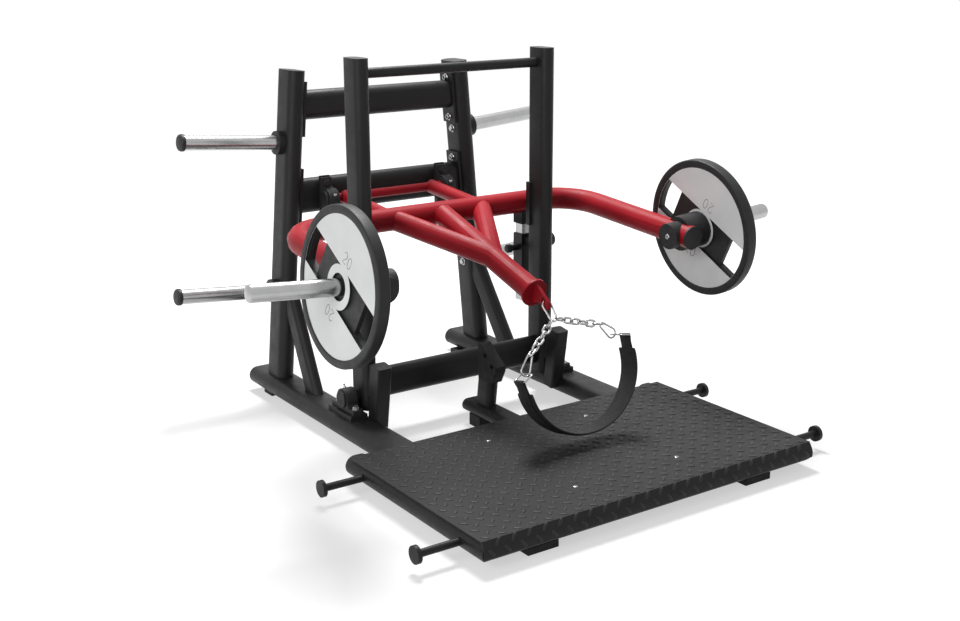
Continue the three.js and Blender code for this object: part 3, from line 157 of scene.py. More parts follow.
class ShaderSheet:
    """One material's node tree, filled node by node in the object's own coordinates."""

    edge_full: float = 0.8  # agreement of rounded and true normal right on an edge
    edge_none: float = 0.97  # and just beside it

    def __init__(self, name: str) -> None:
        """Starts a material with a principled shader.

        Args:
            name: Name of the material.
        """
        self.material = bpy.data.materials.new(name)
        self.material.use_nodes = True
        self.tree = self.material.node_tree
        self.tree.nodes.clear()
        output = self.node("ShaderNodeOutputMaterial")
        self.shader = self.node("ShaderNodeBsdfPrincipled")
        self.tree.links.new(self.shader.outputs[0], output.inputs[0])
        self.places = self.node("ShaderNodeTexCoord")

    def node(self, kind: str, **settings: object) -> bpy.types.Node:
        """Adds a node to the material."""
        return add_node(self.tree, kind, **settings)

    def feed(self, target: bpy.types.NodeSocket, value: object) -> None:
        """Links a socket to another one, or sets it to a plain value.

        Args:
            target: Input socket.
            value: Output socket, number or colour.
        """
        if isinstance(value, bpy.types.NodeSocket):
            self.tree.links.new(value, target)
        else:
            target.default_value = value

    def noise(
        self, scale: float, detail: float = MEDIUM, stretch: Sequence[float] = (1, 1, 1)
    ) -> bpy.types.NodeSocket:
        """Adds a noise pattern.

        Args:
            scale: Cells for each metre.
            detail: Octaves.
            stretch: Scale along each axis, for streaks.

        Returns:
            The pattern's value, about 0.3 to 0.7.
        """
        mapping = self.node("ShaderNodeMapping")
        self.feed(mapping.inputs["Vector"], self.places.outputs["Object"])
        mapping.inputs["Scale"].default_value = stretch
        pattern = self.node("ShaderNodeTexNoise")
        self.feed(pattern.inputs["Vector"], mapping.outputs["Vector"])
        self.feed(pattern.inputs["Scale"], scale)
        self.feed(pattern.inputs["Detail"], detail)
        return pattern.outputs["Fac"]

    def span(
        self,
        factor: bpy.types.NodeSocket,
        low: float,
        high: float,
        start: float = NOISE_LOW,
        end: float = NOISE_HIGH,
    ) -> bpy.types.NodeSocket:
        """Maps a pattern's value to a range.

        Args:
            factor: Value to map.
            low: Result at start.
            high: Result at end.
            start: Value that gives low.
            end: Value that gives high.

        Returns:
            The mapped value.
        """
        mapped = self.node("ShaderNodeMapRange")
        self.feed(mapped.inputs["Value"], factor)
        self.feed(mapped.inputs["From Min"], start)
        self.feed(mapped.inputs["From Max"], end)
        self.feed(mapped.inputs["To Min"], low)
        self.feed(mapped.inputs["To Max"], high)
        return mapped.outputs["Result"]

    def product(
        self, first: bpy.types.NodeSocket, second: bpy.types.NodeSocket
    ) -> bpy.types.NodeSocket:
        """Multiplies two values.

        Args:
            first: One value.
            second: The other value.

        Returns:
            Their product.
        """
        maths = self.node("ShaderNodeMath", operation="MULTIPLY")
        self.feed(maths.inputs[0], first)
        self.feed(maths.inputs[1], second)
        return maths.outputs[0]

    def blend(
        self, factor: bpy.types.NodeSocket, first: object, second: object
    ) -> bpy.types.NodeSocket:
        """Blends two colours by a pattern.

        Args:
            factor: Share of the second colour.
            first: Colour or colour socket.
            second: Colour or colour socket.

        Returns:
            The blended colour.
        """
        mix = self.node("ShaderNodeMix", data_type="RGBA")
        self.feed(mix.inputs[0], factor)
        for number, colour in zip(MIX_COLOURS, (first, second)):
            self.feed(mix.inputs[number], colour)
        return mix.outputs[2]

    def soft_normal(self, radius: float) -> bpy.types.NodeSocket:
        """Adds a normal that rounds every edge.

        Args:
            radius: Radius of the rounding.

        Returns:
            The rounded normal.
        """
        bevel = self.node("ShaderNodeBevel", samples=4)
        self.feed(bevel.inputs["Radius"], radius)
        return bevel.outputs["Normal"]

    def edge_mask(self, radius: float) -> bpy.types.NodeSocket:
        """Marks the strip along each edge.

        Args:
            radius: Width of the strip.

        Returns:
            One on an edge and zero away from it.
        """
        dot = self.node("ShaderNodeVectorMath", operation="DOT_PRODUCT")
        self.feed(dot.inputs[0], self.soft_normal(radius))
        self.feed(dot.inputs[1], self.node("ShaderNodeNewGeometry").outputs["Normal"])
        return self.span(dot.outputs["Value"], 1.0, 0.0, self.edge_full, self.edge_none)

    def bump(
        self, height: bpy.types.NodeSocket, depth: float, normal: object = None
    ) -> bpy.types.NodeSocket:
        """Adds relief.

        Args:
            height: Pattern of the relief.
            depth: Depth of the relief in metres.
            normal: Normal that the relief is laid on.

        Returns:
            The new normal.
        """
        relief = self.node("ShaderNodeBump")
        self.feed(relief.inputs["Height"], height)
        self.feed(relief.inputs["Distance"], depth)
        if normal is not None:
            self.feed(relief.inputs["Normal"], normal)
        return relief.outputs["Normal"]

    def give(self, **inputs: object) -> bpy.types.Material:
        """Feeds the principled shader.

        Args:
            **inputs: Socket names with underscores for spaces, and what each one gets.

        Returns:
            The finished material.
        """
        for key, value in inputs.items():
            self.feed(self.shader.inputs[key.replace("_", " ").title()], value)
        return self.material


@dataclass(frozen=True)
class CoatFinish:
    """Satin powder coat: a fine orange peel, faint mottling, and paler edges: a painted highlight
    along each edge together with light wear.
    """

    shade: str
    # The paler edge colour: a painted highlight along each edge, and light wear.
    edge_highlight_and_wear: str
    gloss_low: float = 0.36
    gloss_high: float = 0.5
    peel_scale: float = 900.0
    peel_depth: float = 0.00022
    edge: float = 0.0018
    edge_highlight_and_wear_share: float = 0.45
    shine: float = 0.2
    mottle_scale: float = 9.0
    mottle_depth: float = 0.82
    highlight_and_wear_patch_scale: float = 60.0
    highlight_and_wear_patch_from: float = 0.42
    haze_scale: float = 24.0

    def material(self, name: str) -> bpy.types.Material:
        """Builds the coat.

        Args:
            name: Name of the material.

        Returns:
            The material.
        """
        sheet = ShaderSheet(name)
        base = linear_colour(self.shade)
        deep = tuple(self.mottle_depth * part for part in base[:3]) + (1.0,)
        mottled = sheet.blend(sheet.span(sheet.noise(self.mottle_scale), 0.0, 1.0), deep, base)
        # Paler edges in patches: a painted highlight along each edge, together with light wear.
        highlight_and_wear_noise = sheet.noise(self.highlight_and_wear_patch_scale, FINEST)
        highlight_and_wear_patches = sheet.span(highlight_and_wear_noise, 0.0, self.edge_highlight_and_wear_share, self.highlight_and_wear_patch_from, NOISE_HIGH)
        edge_highlight_and_wear_mask = sheet.product(sheet.edge_mask(self.edge), highlight_and_wear_patches)
        colour = sheet.blend(edge_highlight_and_wear_mask, mottled, linear_colour(self.edge_highlight_and_wear))
        rough = sheet.span(sheet.noise(self.haze_scale, FINE), self.gloss_low, self.gloss_high)
        peel = sheet.bump(
            sheet.noise(self.peel_scale, COARSE), self.peel_depth, sheet.soft_normal(self.edge)
        )
        sheet.shader.inputs["Specular IOR Level"].default_value = self.shine
        return sheet.give(base_color=colour, roughness=rough, normal=peel)


@dataclass(frozen=True)
class ChromeFinish:
    """Bright plated steel with a thin haze of handling marks."""

    shade: str = "adadad"
    hazed: str = "a4a5a6"
    gloss_low: float = 0.25
    gloss_high: float = 0.28
    haze_scale: float = 35.0
    haze_from: float = 0.4
    haze_to: float = 0.75
    gloss_scale: float = 14.0
    ripple_scale: float = 160.0
    ripple_depth: float = 0.000004

    def material(self, name: str) -> bpy.types.Material:
        """Builds the plating.

        Args:
            name: Name of the material.

        Returns:
            The material.
        """
        sheet = ShaderSheet(name)
        haze = sheet.span(
            sheet.noise(self.haze_scale, FINEST), 0.0, 1.0, self.haze_from, self.haze_to
        )
        colour = sheet.blend(haze, linear_colour(self.shade), linear_colour(self.hazed))
        rough = sheet.span(sheet.noise(self.gloss_scale), self.gloss_low, self.gloss_high)
        relief = sheet.bump(sheet.noise(self.ripple_scale, COARSE), self.ripple_depth)
        return sheet.give(base_color=colour, metallic=1.0, roughness=rough, normal=relief)


@dataclass(frozen=True)
class CastFinish:
    """Painted cast iron: sandy relief under a dull coat."""

    shade: str = "2c2c2d"
    # The paler edge colour: a painted highlight along each edge, and light wear.
    edge_highlight_and_wear: str = "515253"
    grain_scale: float = 420.0
    grain_depth: float = 0.0006
    edge: float = 0.0024
    highlight_and_wear_patch_scale: float = 90.0
    edge_highlight_and_wear_share: float = 0.7
    haze_scale: float = 50.0
    gloss_low: float = 0.45
    gloss_high: float = 0.66
    shine: float = 0.25

    def material(self, name: str) -> bpy.types.Material:
        """Builds the casting's skin.

        Args:
            name: Name of the material.

        Returns:
            The material.
        """
        sheet = ShaderSheet(name)
        # Paler edges in patches: a painted highlight along each edge, together with light wear.
        highlight_and_wear_patches = sheet.span(sheet.noise(self.highlight_and_wear_patch_scale, FINE), 0.0, self.edge_highlight_and_wear_share)
        edge_highlight_and_wear_mask = sheet.product(sheet.edge_mask(self.edge), highlight_and_wear_patches)
        colour = sheet.blend(edge_highlight_and_wear_mask, linear_colour(self.shade), linear_colour(self.edge_highlight_and_wear))
        rough = sheet.span(sheet.noise(self.haze_scale), self.gloss_low, self.gloss_high)
        sheet.shader.inputs["Specular IOR Level"].default_value = self.shine
        relief = sheet.bump(
            sheet.noise(self.grain_scale, FINE), self.grain_depth, sheet.soft_normal(self.edge)
        )
        return sheet.give(base_color=colour, roughness=rough, normal=relief)


@dataclass(frozen=True)
class MouldedFinish:
    """Moulded rubber or plastic: an even skin with a fine spark texture."""

    shade: str
    pale: str
    gloss_low: float = 0.42
    gloss_high: float = 0.58
    spark_scale: float = 1600.0
    spark_depth: float = 0.00012
    edge: float = 0.0016
    shine: float = 0.25
    cloud_scale: float = 18.0
    haze_scale: float = 45.0

    def material(self, name: str) -> bpy.types.Material:
        """Builds the skin.

        Args:
            name: Name of the material.

        Returns:
            The material.
        """
        sheet = ShaderSheet(name)
        cloud = sheet.span(sheet.noise(self.cloud_scale, FINE), 0.0, 1.0)
        colour = sheet.blend(cloud, linear_colour(self.shade), linear_colour(self.pale))
        rough = sheet.span(sheet.noise(self.haze_scale), self.gloss_low, self.gloss_high)
        relief = sheet.bump(
            sheet.noise(self.spark_scale, COARSE), self.spark_depth, sheet.soft_normal(self.edge)
        )
        sheet.shader.inputs["Specular IOR Level"].default_value = self.shine
        return sheet.give(base_color=colour, roughness=rough, normal=relief)


@dataclass(frozen=True)
class WebbingFinish:
    """Woven nylon: ribs across the band and yarns along it, laid by the mesh's own map."""

    shade: str = "0a0a0b"
    worn: str = "19191a"
    rib_scale: float = 260.0
    yarn_scale: float = 190.0
    weave_depth: float = 0.0006
    waver: float = 0.4
    fuzz_scale: float = 140.0
    gloss_low: float = 0.4
    gloss_high: float = 0.62
    shine: float = 0.3

    def ribs(self, sheet: ShaderSheet, way: str, scale: float) -> bpy.types.NodeSocket:
        """Adds one set of threads.

        Args:
            sheet: The material.
            way: Axis of the map that the threads repeat along.
            scale: Threads for each metre, times a constant of the pattern.

        Returns:
            The threads' height.
        """
        wave = sheet.node("ShaderNodeTexWave", bands_direction=way)
        sheet.feed(wave.inputs["Vector"], sheet.places.outputs["UV"])
        sheet.feed(wave.inputs["Scale"], scale)
        sheet.feed(wave.inputs["Distortion"], self.waver)
        return wave.outputs["Fac"]

    def material(self, name: str) -> bpy.types.Material:
        """Builds the weave.

        Args:
            name: Name of the material.

        Returns:
            The material.
        """
        sheet = ShaderSheet(name)
        weave = sheet.product(
            self.ribs(sheet, "X", self.rib_scale), self.ribs(sheet, "Y", self.yarn_scale)
        )
        fuzz = sheet.span(sheet.noise(self.fuzz_scale, FINEST), 0.0, 1.0)
        colour = sheet.blend(fuzz, linear_colour(self.shade), linear_colour(self.worn))
        rough = sheet.span(weave, self.gloss_high, self.gloss_low, 0.0, 1.0)
        relief = sheet.bump(weave, self.weave_depth)
        sheet.shader.inputs["Specular IOR Level"].default_value = self.shine
        return sheet.give(base_color=colour, roughness=rough, normal=relief)


FINISHES = {
    Slot.BLACK_COAT: CoatFinish("242425", "3f3f41"),
    # The tread's and lugs' paler edges are a painted highlight, with light wear.
    Slot.TREAD_COAT: CoatFinish(
        "333233", "5c5b5c", gloss_low=0.44, gloss_high=0.58, peel_scale=700.0,
        peel_depth=0.0002, edge=0.0016, edge_highlight_and_wear_share=0.8, shine=0.12,
    ),
    Slot.LUG_COAT: CoatFinish(
        "323132", "4c4b4c", gloss_low=0.4, gloss_high=0.5, peel_scale=700.0,
        peel_depth=0.0001, edge=0.0008, edge_highlight_and_wear_share=0.7, shine=0.2,
    ),
    Slot.RED_COAT: CoatFinish(
        "a11c27", "b03a44", gloss_low=0.38, gloss_high=0.5, peel_scale=1000.0,
        peel_depth=0.0002, edge=0.0016, edge_highlight_and_wear_share=0.3, shine=0.14,
    ),
    Slot.CHROME: ChromeFinish(),
    Slot.CAST_IRON: CastFinish(),
    Slot.RUBBER: MouldedFinish(
        "1c1c1d", "262627", gloss_low=0.6, gloss_high=0.78, spark_scale=500.0,
        spark_depth=0.0003,
    ),
    Slot.HARD_PLASTIC: MouldedFinish("242425", "2e2e2f"),
    Slot.PLATE_COAT: MouldedFinish(
        "282829", "2f2f30", gloss_low=0.42, gloss_high=0.56, spark_scale=1100.0,
        spark_depth=0.0002, edge=0.0022,
    ),
    Slot.WEBBING: WebbingFinish(),
    Slot.PLATE_PAINT: MouldedFinish(
        "f2f4f4", "f8f9f9", gloss_low=0.34, gloss_high=0.5, spark_scale=900.0,
        spark_depth=0.00012, edge=0.001,
    ),
    Slot.DIGIT_PAINT: MouldedFinish(
        "3a3b3c", "4a4b4c", gloss_low=0.5, gloss_high=0.6, spark_scale=900.0,
        spark_depth=0.0001, edge=0.0002,
    ),
}


@dataclass
class FinishRack:
    """Keeps one material for each slot, made when it is first asked for."""

    made: dict[Slot, bpy.types.Material] = field(default_factory=dict)

    def of(self, slot: Slot) -> bpy.types.Material:
        """Gives the slot's material.

        Args:
            slot: The slot asked for.

        Returns:
            Its material.
        """
        if slot not in self.made:
            self.made[slot] = FINISHES[slot].material(slot.value)
        return self.made[slot]


@dataclass
class Draft:
    """Points, faces and map places of one mesh that is being built."""

    points: list[Vector] = field(default_factory=list)
    faces: list[tuple[int, ...]] = field(default_factory=list)
    spots: list[tuple[float, float]] = field(default_factory=list)

    def ring(self, points: Iterable[Vector], spots: Iterable[tuple[float, float]] = ()) -> range:
        """Adds one ring of points.

        Args:
            points: The ring's points.
            spots: Map places of those points.

        Returns:
            Their numbers.
        """
        first = len(self.points)
        self.points.extend(points)
        self.spots.extend(spots)
        return range(first, len(self.points))

    def skin(self, first: Sequence[int], second: Sequence[int], closed: bool = True) -> None:
        """Joins two rings of equal length by a strip of faces.

        Args:
            first: Numbers of one ring.
            second: Numbers of the next one.
            closed: Whether the strip meets itself.
        """
        count = len(first)
        for at in range(count if closed else count - 1):
            after = (at + 1) % count
            self.faces.append((first[at], first[after], second[after], second[at]))

    def cap(self, ring: Sequence[int], flip: bool = False) -> None:
        """Closes a ring with one face."""
        self.faces.append(tuple(reversed(ring)) if flip else tuple(ring))

    def place(self, matrix: Matrix) -> Draft:
        """Moves every point by a matrix."""
        self.points = [matrix @ point for point in self.points]
        return self

    def add(self, other: Draft) -> Draft:
        """Takes in another draft.

        Args:
            other: What is added.

        Returns:
            This draft.
        """
        first = len(self.points)
        self.points.extend(other.points)
        self.spots.extend(other.spots)
        self.faces.extend(tuple(first + at for at in face) for face in other.faces)
        return self

    def build(self, name: str, sharp: float = 35.0) -> bpy.types.Object:
        """Makes the object.

        Args:
            name: Its name.
            sharp: Edges above this angle, in degrees, stay sharp.

        Returns:
            The new object, linked to the scene.
        """
        mesh = bpy.data.meshes.new(name)
        mesh.from_pydata([tuple(point) for point in self.points], [], self.faces)
        if self.spots:
            layer = mesh.uv_layers.new(name="weave")
            for loop in mesh.loops:
                layer.data[loop.index].uv = self.spots[loop.vertex_index]
        mesh.validate()
        mesh.shade_smooth()
        mesh.set_sharp_from_angle(angle=math.radians(sharp))
        made = bpy.data.objects.new(name, mesh)
        bpy.context.scene.collection.objects.link(made)
        return made


def basis(axis: Vector, across: Vector, centre: Vector) -> Matrix:
    """Makes a frame whose Z runs along an axis.

    Args:
        axis: Direction of Z.
        across: Rough direction of X.
        centre: Origin.

    Returns:
        The frame's matrix.
    """
    z = axis.normalized()
    y = z.cross(across).normalized()
    x = y.cross(z)
    turn = Matrix((x, y, z)).transposed().to_4x4()
    return Matrix.Translation(centre) @ turn


def revolved(profile: Sequence[tuple[float, float]], segments: int = 32) -> Draft:
    """Turns a half section about Z.

    Args:
        profile: Radius and height of each point; a radius of zero closes the shape.
        segments: Facets round the axis.

    Returns:
        The turned shape.
    """
    draft = Draft()
    rings: list[Sequence[int]] = []
    for radius, height in profile:
        if radius == 0:
            rings.append([draft.ring([Vector((0, 0, height))])[0]] * segments)
            continue
        turns = (2 * math.pi * at / segments for at in range(segments))
        rings.append(
            draft.ring(Vector((radius * math.cos(t), radius * math.sin(t), height)) for t in turns)
        )
    for first, second in zip(rings, rings[1:]):
        for at in range(segments):
            after = (at + 1) % segments
            face = (first[at], first[after], second[after], second[at])
            draft.faces.append(tuple(dict.fromkeys(face)))
    return draft


def prism(outline: Sequence[tuple[float, float]], low: float, high: float) -> Draft:
    """Raises an outline along Z.

    Args:
        outline: Points of the outline, anticlockwise.
        low: Height of the lower face.
        high: Height of the upper face.

    Returns:
        The raised shape.
    """
    draft = Draft()
    bottom = draft.ring(Vector((x, y, low)) for x, y in outline)
    top = draft.ring(Vector((x, y, high)) for x, y in outline)
    draft.skin(bottom, top)
    draft.cap(bottom, flip=True)
    draft.cap(top)
    return draft


def rounded_corner(
    radius: float, height: float, size: float, steps: int = 4, falling: bool = False
) -> list[tuple[float, float]]:
    """Gives profile points round an outer edge.

    Args:
        radius: Outer radius of the piece.
        height: Height of the face beside the edge.
        size: Radius of the rounding, negative towards a lower face.
        steps: Facets of the rounding.
        falling: Whether the profile runs from the face out to the rim.

    Returns:
        Radius and height of each point.
    """
    reach = abs(size)
    points = []
    for at in range(steps + 1):
        turn = math.pi / 2 * at / steps
        points.append(
            (radius - reach + reach * math.cos(turn), height - size + size * math.sin(turn))
        )
    return points[::-1] if falling else points


def wire(path: Sequence[Vector], radius: float, sides: int = 12, closed: bool = False) -> Draft:
    """Lays a round wire along a path.

    Args:
        path: Points of the wire's middle line.
        radius: Radius of the wire.
        sides: Facets round the wire.
        closed: Whether the path meets itself.

    Returns:
        The wire.
    """
    draft = Draft()
    count = len(path)
    normal = None
    rings = []
    for at, point in enumerate(path):
        before = path[at - 1] if at or closed else path[at]
        after = path[(at + 1) % count] if at < count - 1 or closed else path[at]
        course = (after - before).normalized()
        if normal is None:
            normal = course.orthogonal().normalized()
        normal = (normal - course * normal.dot(course)).normalized()
        side = course.cross(normal)
        turns = [2 * math.pi * step / sides for step in range(sides)]
        rings.append(
            draft.ring(
                point + radius * (math.cos(t) * normal + math.sin(t) * side) for t in turns
            )
        )
    for first, second in zip(rings, rings[1:]):
        draft.skin(first, second)
    if closed:
        last, first = rings[-1], rings[0]
        shift = min(
            range(sides),
            key=lambda s: (draft.points[last[0]] - draft.points[first[s]]).length,
        )
        draft.skin(last, [first[(at + shift) % sides] for at in range(sides)])
    else:
        draft.cap(rings[0], flip=True)
        draft.cap(rings[-1])
    return draft


@dataclass
class Maker:
    """Finishes made pieces and hands them to the frame."""

    rack: FinishRack

    def place(
        self, piece: bpy.types.Object, body: Body, slot: Slot, replaces: Sequence[str] = ()
    ) -> bpy.types.Object:
        """Dresses a piece and lets it ride on a body.

        Args:
            piece: The piece, in place.
            body: Body that it moves with.
            slot: Slot of its finish.
            replaces: Frame nodes that it stands for.

        Returns:
            The piece.
        """
        if not piece.data.materials:
            piece.data.materials.append(self.rack.of(slot))
        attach(piece, body.value)
        if replaces:
            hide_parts(*replaces)
        log.info("%s: %d faces on %s", piece.name, len(piece.data.polygons), body.value)
        return piece


@dataclass
class FrameNodes:
    """The frame's own nodes, with smooth round faces and procedural finishes."""

    rack: FinishRack
    smooth_angle: float = 38.0
    wire_angle: float = 66.0
    weld: float = 0.00001
    wires: tuple[str, ...] = (
        "belt_chain_left", "belt_chain_right", "belt_ring_left", "belt_ring_right",
    )

    def skin_group(self, name: str, angle: float) -> bpy.types.NodeTree:
        """Makes a node group that welds facets and shades them smoothly.

        Args:
            name: Name of the group.
            angle: Edges above this angle, in degrees, stay sharp.

        Returns:
            The group.
        """
        group = bpy.data.node_groups.new(name, "GeometryNodeTree")
        group.interface.new_socket("Geometry", in_out="INPUT", socket_type="NodeSocketGeometry")
        group.interface.new_socket("Geometry", in_out="OUTPUT", socket_type="NodeSocketGeometry")
        start = add_node(group, "NodeGroupInput")
        merge = add_node(group, "GeometryNodeMergeByDistance")
        merge.inputs["Distance"].default_value = self.weld
        plain = add_node(group, "GeometryNodeRemoveAttribute")
        plain.inputs["Name"].default_value = "custom_normal"
        faces = add_node(group, "GeometryNodeSetShadeSmooth", domain="FACE")
        faces.inputs["Shade Smooth"].default_value = True
        edges = add_node(group, "GeometryNodeSetShadeSmooth", domain="EDGE")
        edges.inputs["Shade Smooth"].default_value = False
        corner = add_node(group, "GeometryNodeInputMeshEdgeAngle")
        compare = add_node(group, "FunctionNodeCompare", operation="GREATER_THAN")
        compare.inputs[1].default_value = math.radians(angle)
        end = add_node(group, "NodeGroupOutput")
        chain = [start, plain, merge, faces, edges, end]
        for before, after in zip(chain, chain[1:]):
            group.links.new(before.outputs[0], after.inputs[0])
        group.links.new(corner.outputs["Unsigned Angle"], compare.inputs[0])
        group.links.new(compare.outputs[0], edges.inputs["Selection"])
        return group

    def dress(self, nodes: dict[str, bpy.types.Object], record: dict) -> None:
        """Gives each node its finish and smooth shading.

        Args:
            nodes: The frame's nodes by name.
            record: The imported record.
        """
        slots = {part["node"]: part["material_slot"] for part in record["subparts"]}
        tube = self.skin_group("tube_skin", self.smooth_angle)
        thin = self.skin_group("wire_skin", self.wire_angle)
        for name, node in nodes.items():
            material = self.rack.of(Slot(slots[name]))
            for place in node.material_slots:
                place.material = material
            skin = node.modifiers.new("skin", "NODES")
            skin.node_group = thin if name in self.wires else tube
        log.info("%d frame nodes dressed", len(nodes))


@dataclass
class TreadPattern:
    """Raised lugs on the tread plate, in two crossing directions, down to its folded lip."""

    pitch: float = 0.05
    start_x: float = -0.4765
    start_y: float = -0.4476
    rear_y: float = -0.1319
    lip: tuple[tuple[float, float], ...] = (
        (-0.8130, TREAD_TOP),
        (-0.8231, 0.0690),
        (-0.8254, 0.0644),
        (-0.8271, 0.0595),
        (-0.8280, 0.0545),
        (-0.8281, 0.0493),
        (-0.8275, 0.0442),
        (-0.8261, 0.0393),
    )
    lug_length: float = 0.029
    lug_width: float = 0.0112
    lug_height: float = 0.0019
    sink: float = 0.0002
    edge_margin: float = 0.003
    clear_of_screw: float = 0.017
    lip_margin_share: float = 0.8
    lug_sides: int = 14
    lug_sharp: float = 75.0
    columns: range = range(-20, 40)
    rows: range = range(-20, 20)
    levels: tuple[tuple[float, float], ...] = ((1.0, 0.0), (0.86, 0.75), (0.66, 1.0))

    def course(self) -> list[Vector]:
        """Lists the plate's outer line from its rear edge to the end of the lip, in Y and Z."""
        return [Vector((self.rear_y, TREAD_TOP)), *(Vector(point) for point in self.lip)]

    def spot(self, x: float, run: float) -> tuple[Vector, Vector]:
        """Finds a place on the plate.

        Args:
            x: Place along X.
            run: Way along the plate's outer line from its rear edge.

        Returns:
            The point and the plate's direction there.
        """
        line = self.course()
        steps = [(b - a).length for a, b in zip(line, line[1:])]
        at = 0
        while at < len(steps) - 1 and run > steps[at]:
            run -= steps[at]
            at += 1
        way = (line[at + 1] - line[at]).normalized()
        here = line[at] + way * run
        return Vector((x, here.x, here.y)), Vector((0.0, way.y, -way.x))

    def lug(self, x: float, run: float, lean: int) -> Draft:
        """Makes one lug: a pointed oval that rises to a rounded ridge.

        Args:
            x: Its place along X.
            run: Its place along the plate's line.
            lean: Which of the two directions it takes.

        Returns:
            The lug.
        """
        draft = Draft()
        rings = []
        half = math.sqrt(0.5)
        for share, lift in self.levels:
            points = []
            for at in range(self.lug_sides):
                turn = 2 * math.pi * at / self.lug_sides
                reach = share * self.lug_length / 2 * math.cos(turn)
                wide = share * self.lug_width / 2 * math.sin(turn)
                place, out = self.spot(
                    x + half * (reach - lean * wide), run + half * (lean * reach + wide)
                )
                points.append(place + out * (self.lug_height * lift - self.sink * (lift == 0)))
            rings.append(draft.ring(points))
        for first, second in zip(rings, rings[1:]):
            draft.skin(first, second)
        place, out = self.spot(x, run)
        crest = draft.ring([place + out * self.lug_height])[0]
        top = rings[-1]
        for at in range(self.lug_sides):
            draft.faces.append((top[at], top[(at + 1) % self.lug_sides], crest))
        draft.cap(rings[0], flip=True)
        if lean > 0:
            draft.faces = [tuple(reversed(face)) for face in draft.faces]
        return draft

    def lattice(
        self, low_x: float, high_x: float, length: float
    ) -> Iterator[tuple[float, float, int]]:
        """Walks over the lugs' places.

        Args:
            low_x: Left edge of the plate.
            high_x: Right edge of the plate.
            length: Length of the plate's outer line.

        Yields:
            Place in X, way along the line, and direction of each lug.
        """
        margin = self.lug_length / 2 * math.sqrt(0.5) + self.edge_margin
        first = self.rear_y - self.start_y
        last = length - margin * self.lip_margin_share
        for column in self.columns:
            for row in self.rows:
                for shift, lean in ((0.0, 1), (self.pitch / 2, -1)):
                    x = self.start_x + self.pitch * column + shift
                    run = first + self.pitch * row + shift
                    if low_x + margin < x < high_x - margin and margin < run < last:
                        yield x, run, lean

    def build(self, maker: Maker, screws: Sequence[Vector]) -> None:
        """Lays the lugs on the plate.

        Args:
            maker: Hands the piece over.
            screws: Places that stay free of lugs.
        """
        low, high = (Vector(corner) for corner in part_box("tread_plate"))
        line = self.course()
        length = sum((b - a).length for a, b in zip(line, line[1:]))
        draft = Draft()
        for x, run, lean in self.lattice(low.x, high.x, length):
            place, _ = self.spot(x, run)
            if all((place - screw).length > self.clear_of_screw for screw in screws):
                draft.add(self.lug(x, run, lean))
        piece = draft.build("tread_lugs", self.lug_sharp)
        piece.data.materials.append(maker.rack.of(Slot.LUG_COAT))
        maker.place(piece, Body.BASE, Slot.TREAD_COAT)


@dataclass
class HexBolt:
    """Flanged hexagon bolt, in its own frame with the seat at zero height."""

    flat_radius: float = 0.0105
    head_height: float = 0.0094
    flange_radius: float = 0.0135
    flange_height: float = 0.0026
    chamfer: float = 0.0014
    dish: float = 0.0008
    flange_edge: float = 0.5  # share of the flange's height that stands straight
    head_root: float = 0.9  # share of it where the head begins
    chamfer_fall: float = 0.7  # these three count in chamfers
    face_inset: float = 2.4
    dish_inset: float = 3.2
    flats: int = 6
    segments: int = 28

    def draft(self) -> Draft:
        """Builds head and flange.

        Returns:
            The bolt's shape.
        """
        flange = revolved(
            [
                (0, 0),
                (self.flange_radius, 0),
                (self.flange_radius, self.flange_height * self.flange_edge),
                (self.flange_radius - self.chamfer, self.flange_height),
                (0, self.flange_height),
            ],
            self.segments,
        )
        head = Draft()
        levels = (
            (self.flat_radius, self.flange_height * self.head_root),
            (self.flat_radius, self.head_height - self.chamfer * self.chamfer_fall),
            (self.flat_radius - self.chamfer, self.head_height),
            (self.flat_radius - self.face_inset * self.chamfer, self.head_height),
            (self.flat_radius - self.dish_inset * self.chamfer, self.head_height - self.dish),
        )
        turns = [2 * math.pi * at / self.flats for at in range(self.flats)]
        rings = [
            head.ring(Vector((radius * math.cos(t), radius * math.sin(t), height)) for t in turns)
            for radius, height in levels
        ]
        for first, second in zip(rings, rings[1:]):
            head.skin(first, second)
        head.cap(rings[0], flip=True)
        head.cap(rings[-1])
        return flange.add(head)


@dataclass
class RoundBolt:
    """Button head with a hexagon socket, in its own frame with the seat at zero height."""

    radius: float = 0.008
    height: float = 0.004
    socket: float = 0.003
    socket_depth: float = 0.002
    rim_share: float = 0.25
    dome_steps: tuple[float, ...] = (0.3, 0.6, 0.85)
    socket_draft: float = 0.94
    segments: int = 24

    def draft(self) -> Draft:
        """Builds the domed head.

        Returns:
            The bolt's shape.
        """
        profile = [(0, 0), (self.radius, 0), (self.radius, self.height * self.rim_share)]
        for share in self.dome_steps:
            turn = math.pi / 2 * share
            rise = self.rim_share + (1 - self.rim_share) * math.sin(turn)
            reach = self.socket + (self.radius - self.socket) * math.cos(turn)
            profile.append((reach, self.height * rise))
        profile += [
            (self.socket, self.height),
            (self.socket * self.socket_draft, self.height - self.socket_depth),
            (0, self.height - self.socket_depth),
        ]
        return revolved(profile, self.segments)


@dataclass
class PlatformScrews:
    """Four countersunk screws that hold the tread plate."""

    spread_x: float = 0.1885
    rows: tuple[float, float] = (-0.2525, -0.6738)
    head: RoundBolt = field(
        default_factory=lambda: RoundBolt(
            radius=0.0072, height=0.0018, socket=0.0028, socket_depth=0.0014
        )
    )

    def places(self) -> list[Vector]:
        """Lists the screws' places.

        Returns:
            The middle of each screw's seat.
        """
        return [
            Vector((side * self.spread_x, y, TREAD_TOP))
            for side in SIDES.values() for y in self.rows
        ]

    def build(self, maker: Maker) -> None:
        """Sets the screws into the plate.

        Args:
            maker: Hands the pieces over.
        """
        for number, place in enumerate(self.places(), 1):
            draft = self.head.draft().place(basis(AXIS_Z, AXIS_X, place))
            maker.place(draft.build(f"tread_screw_{number}"), Body.BASE, Slot.CHROME)


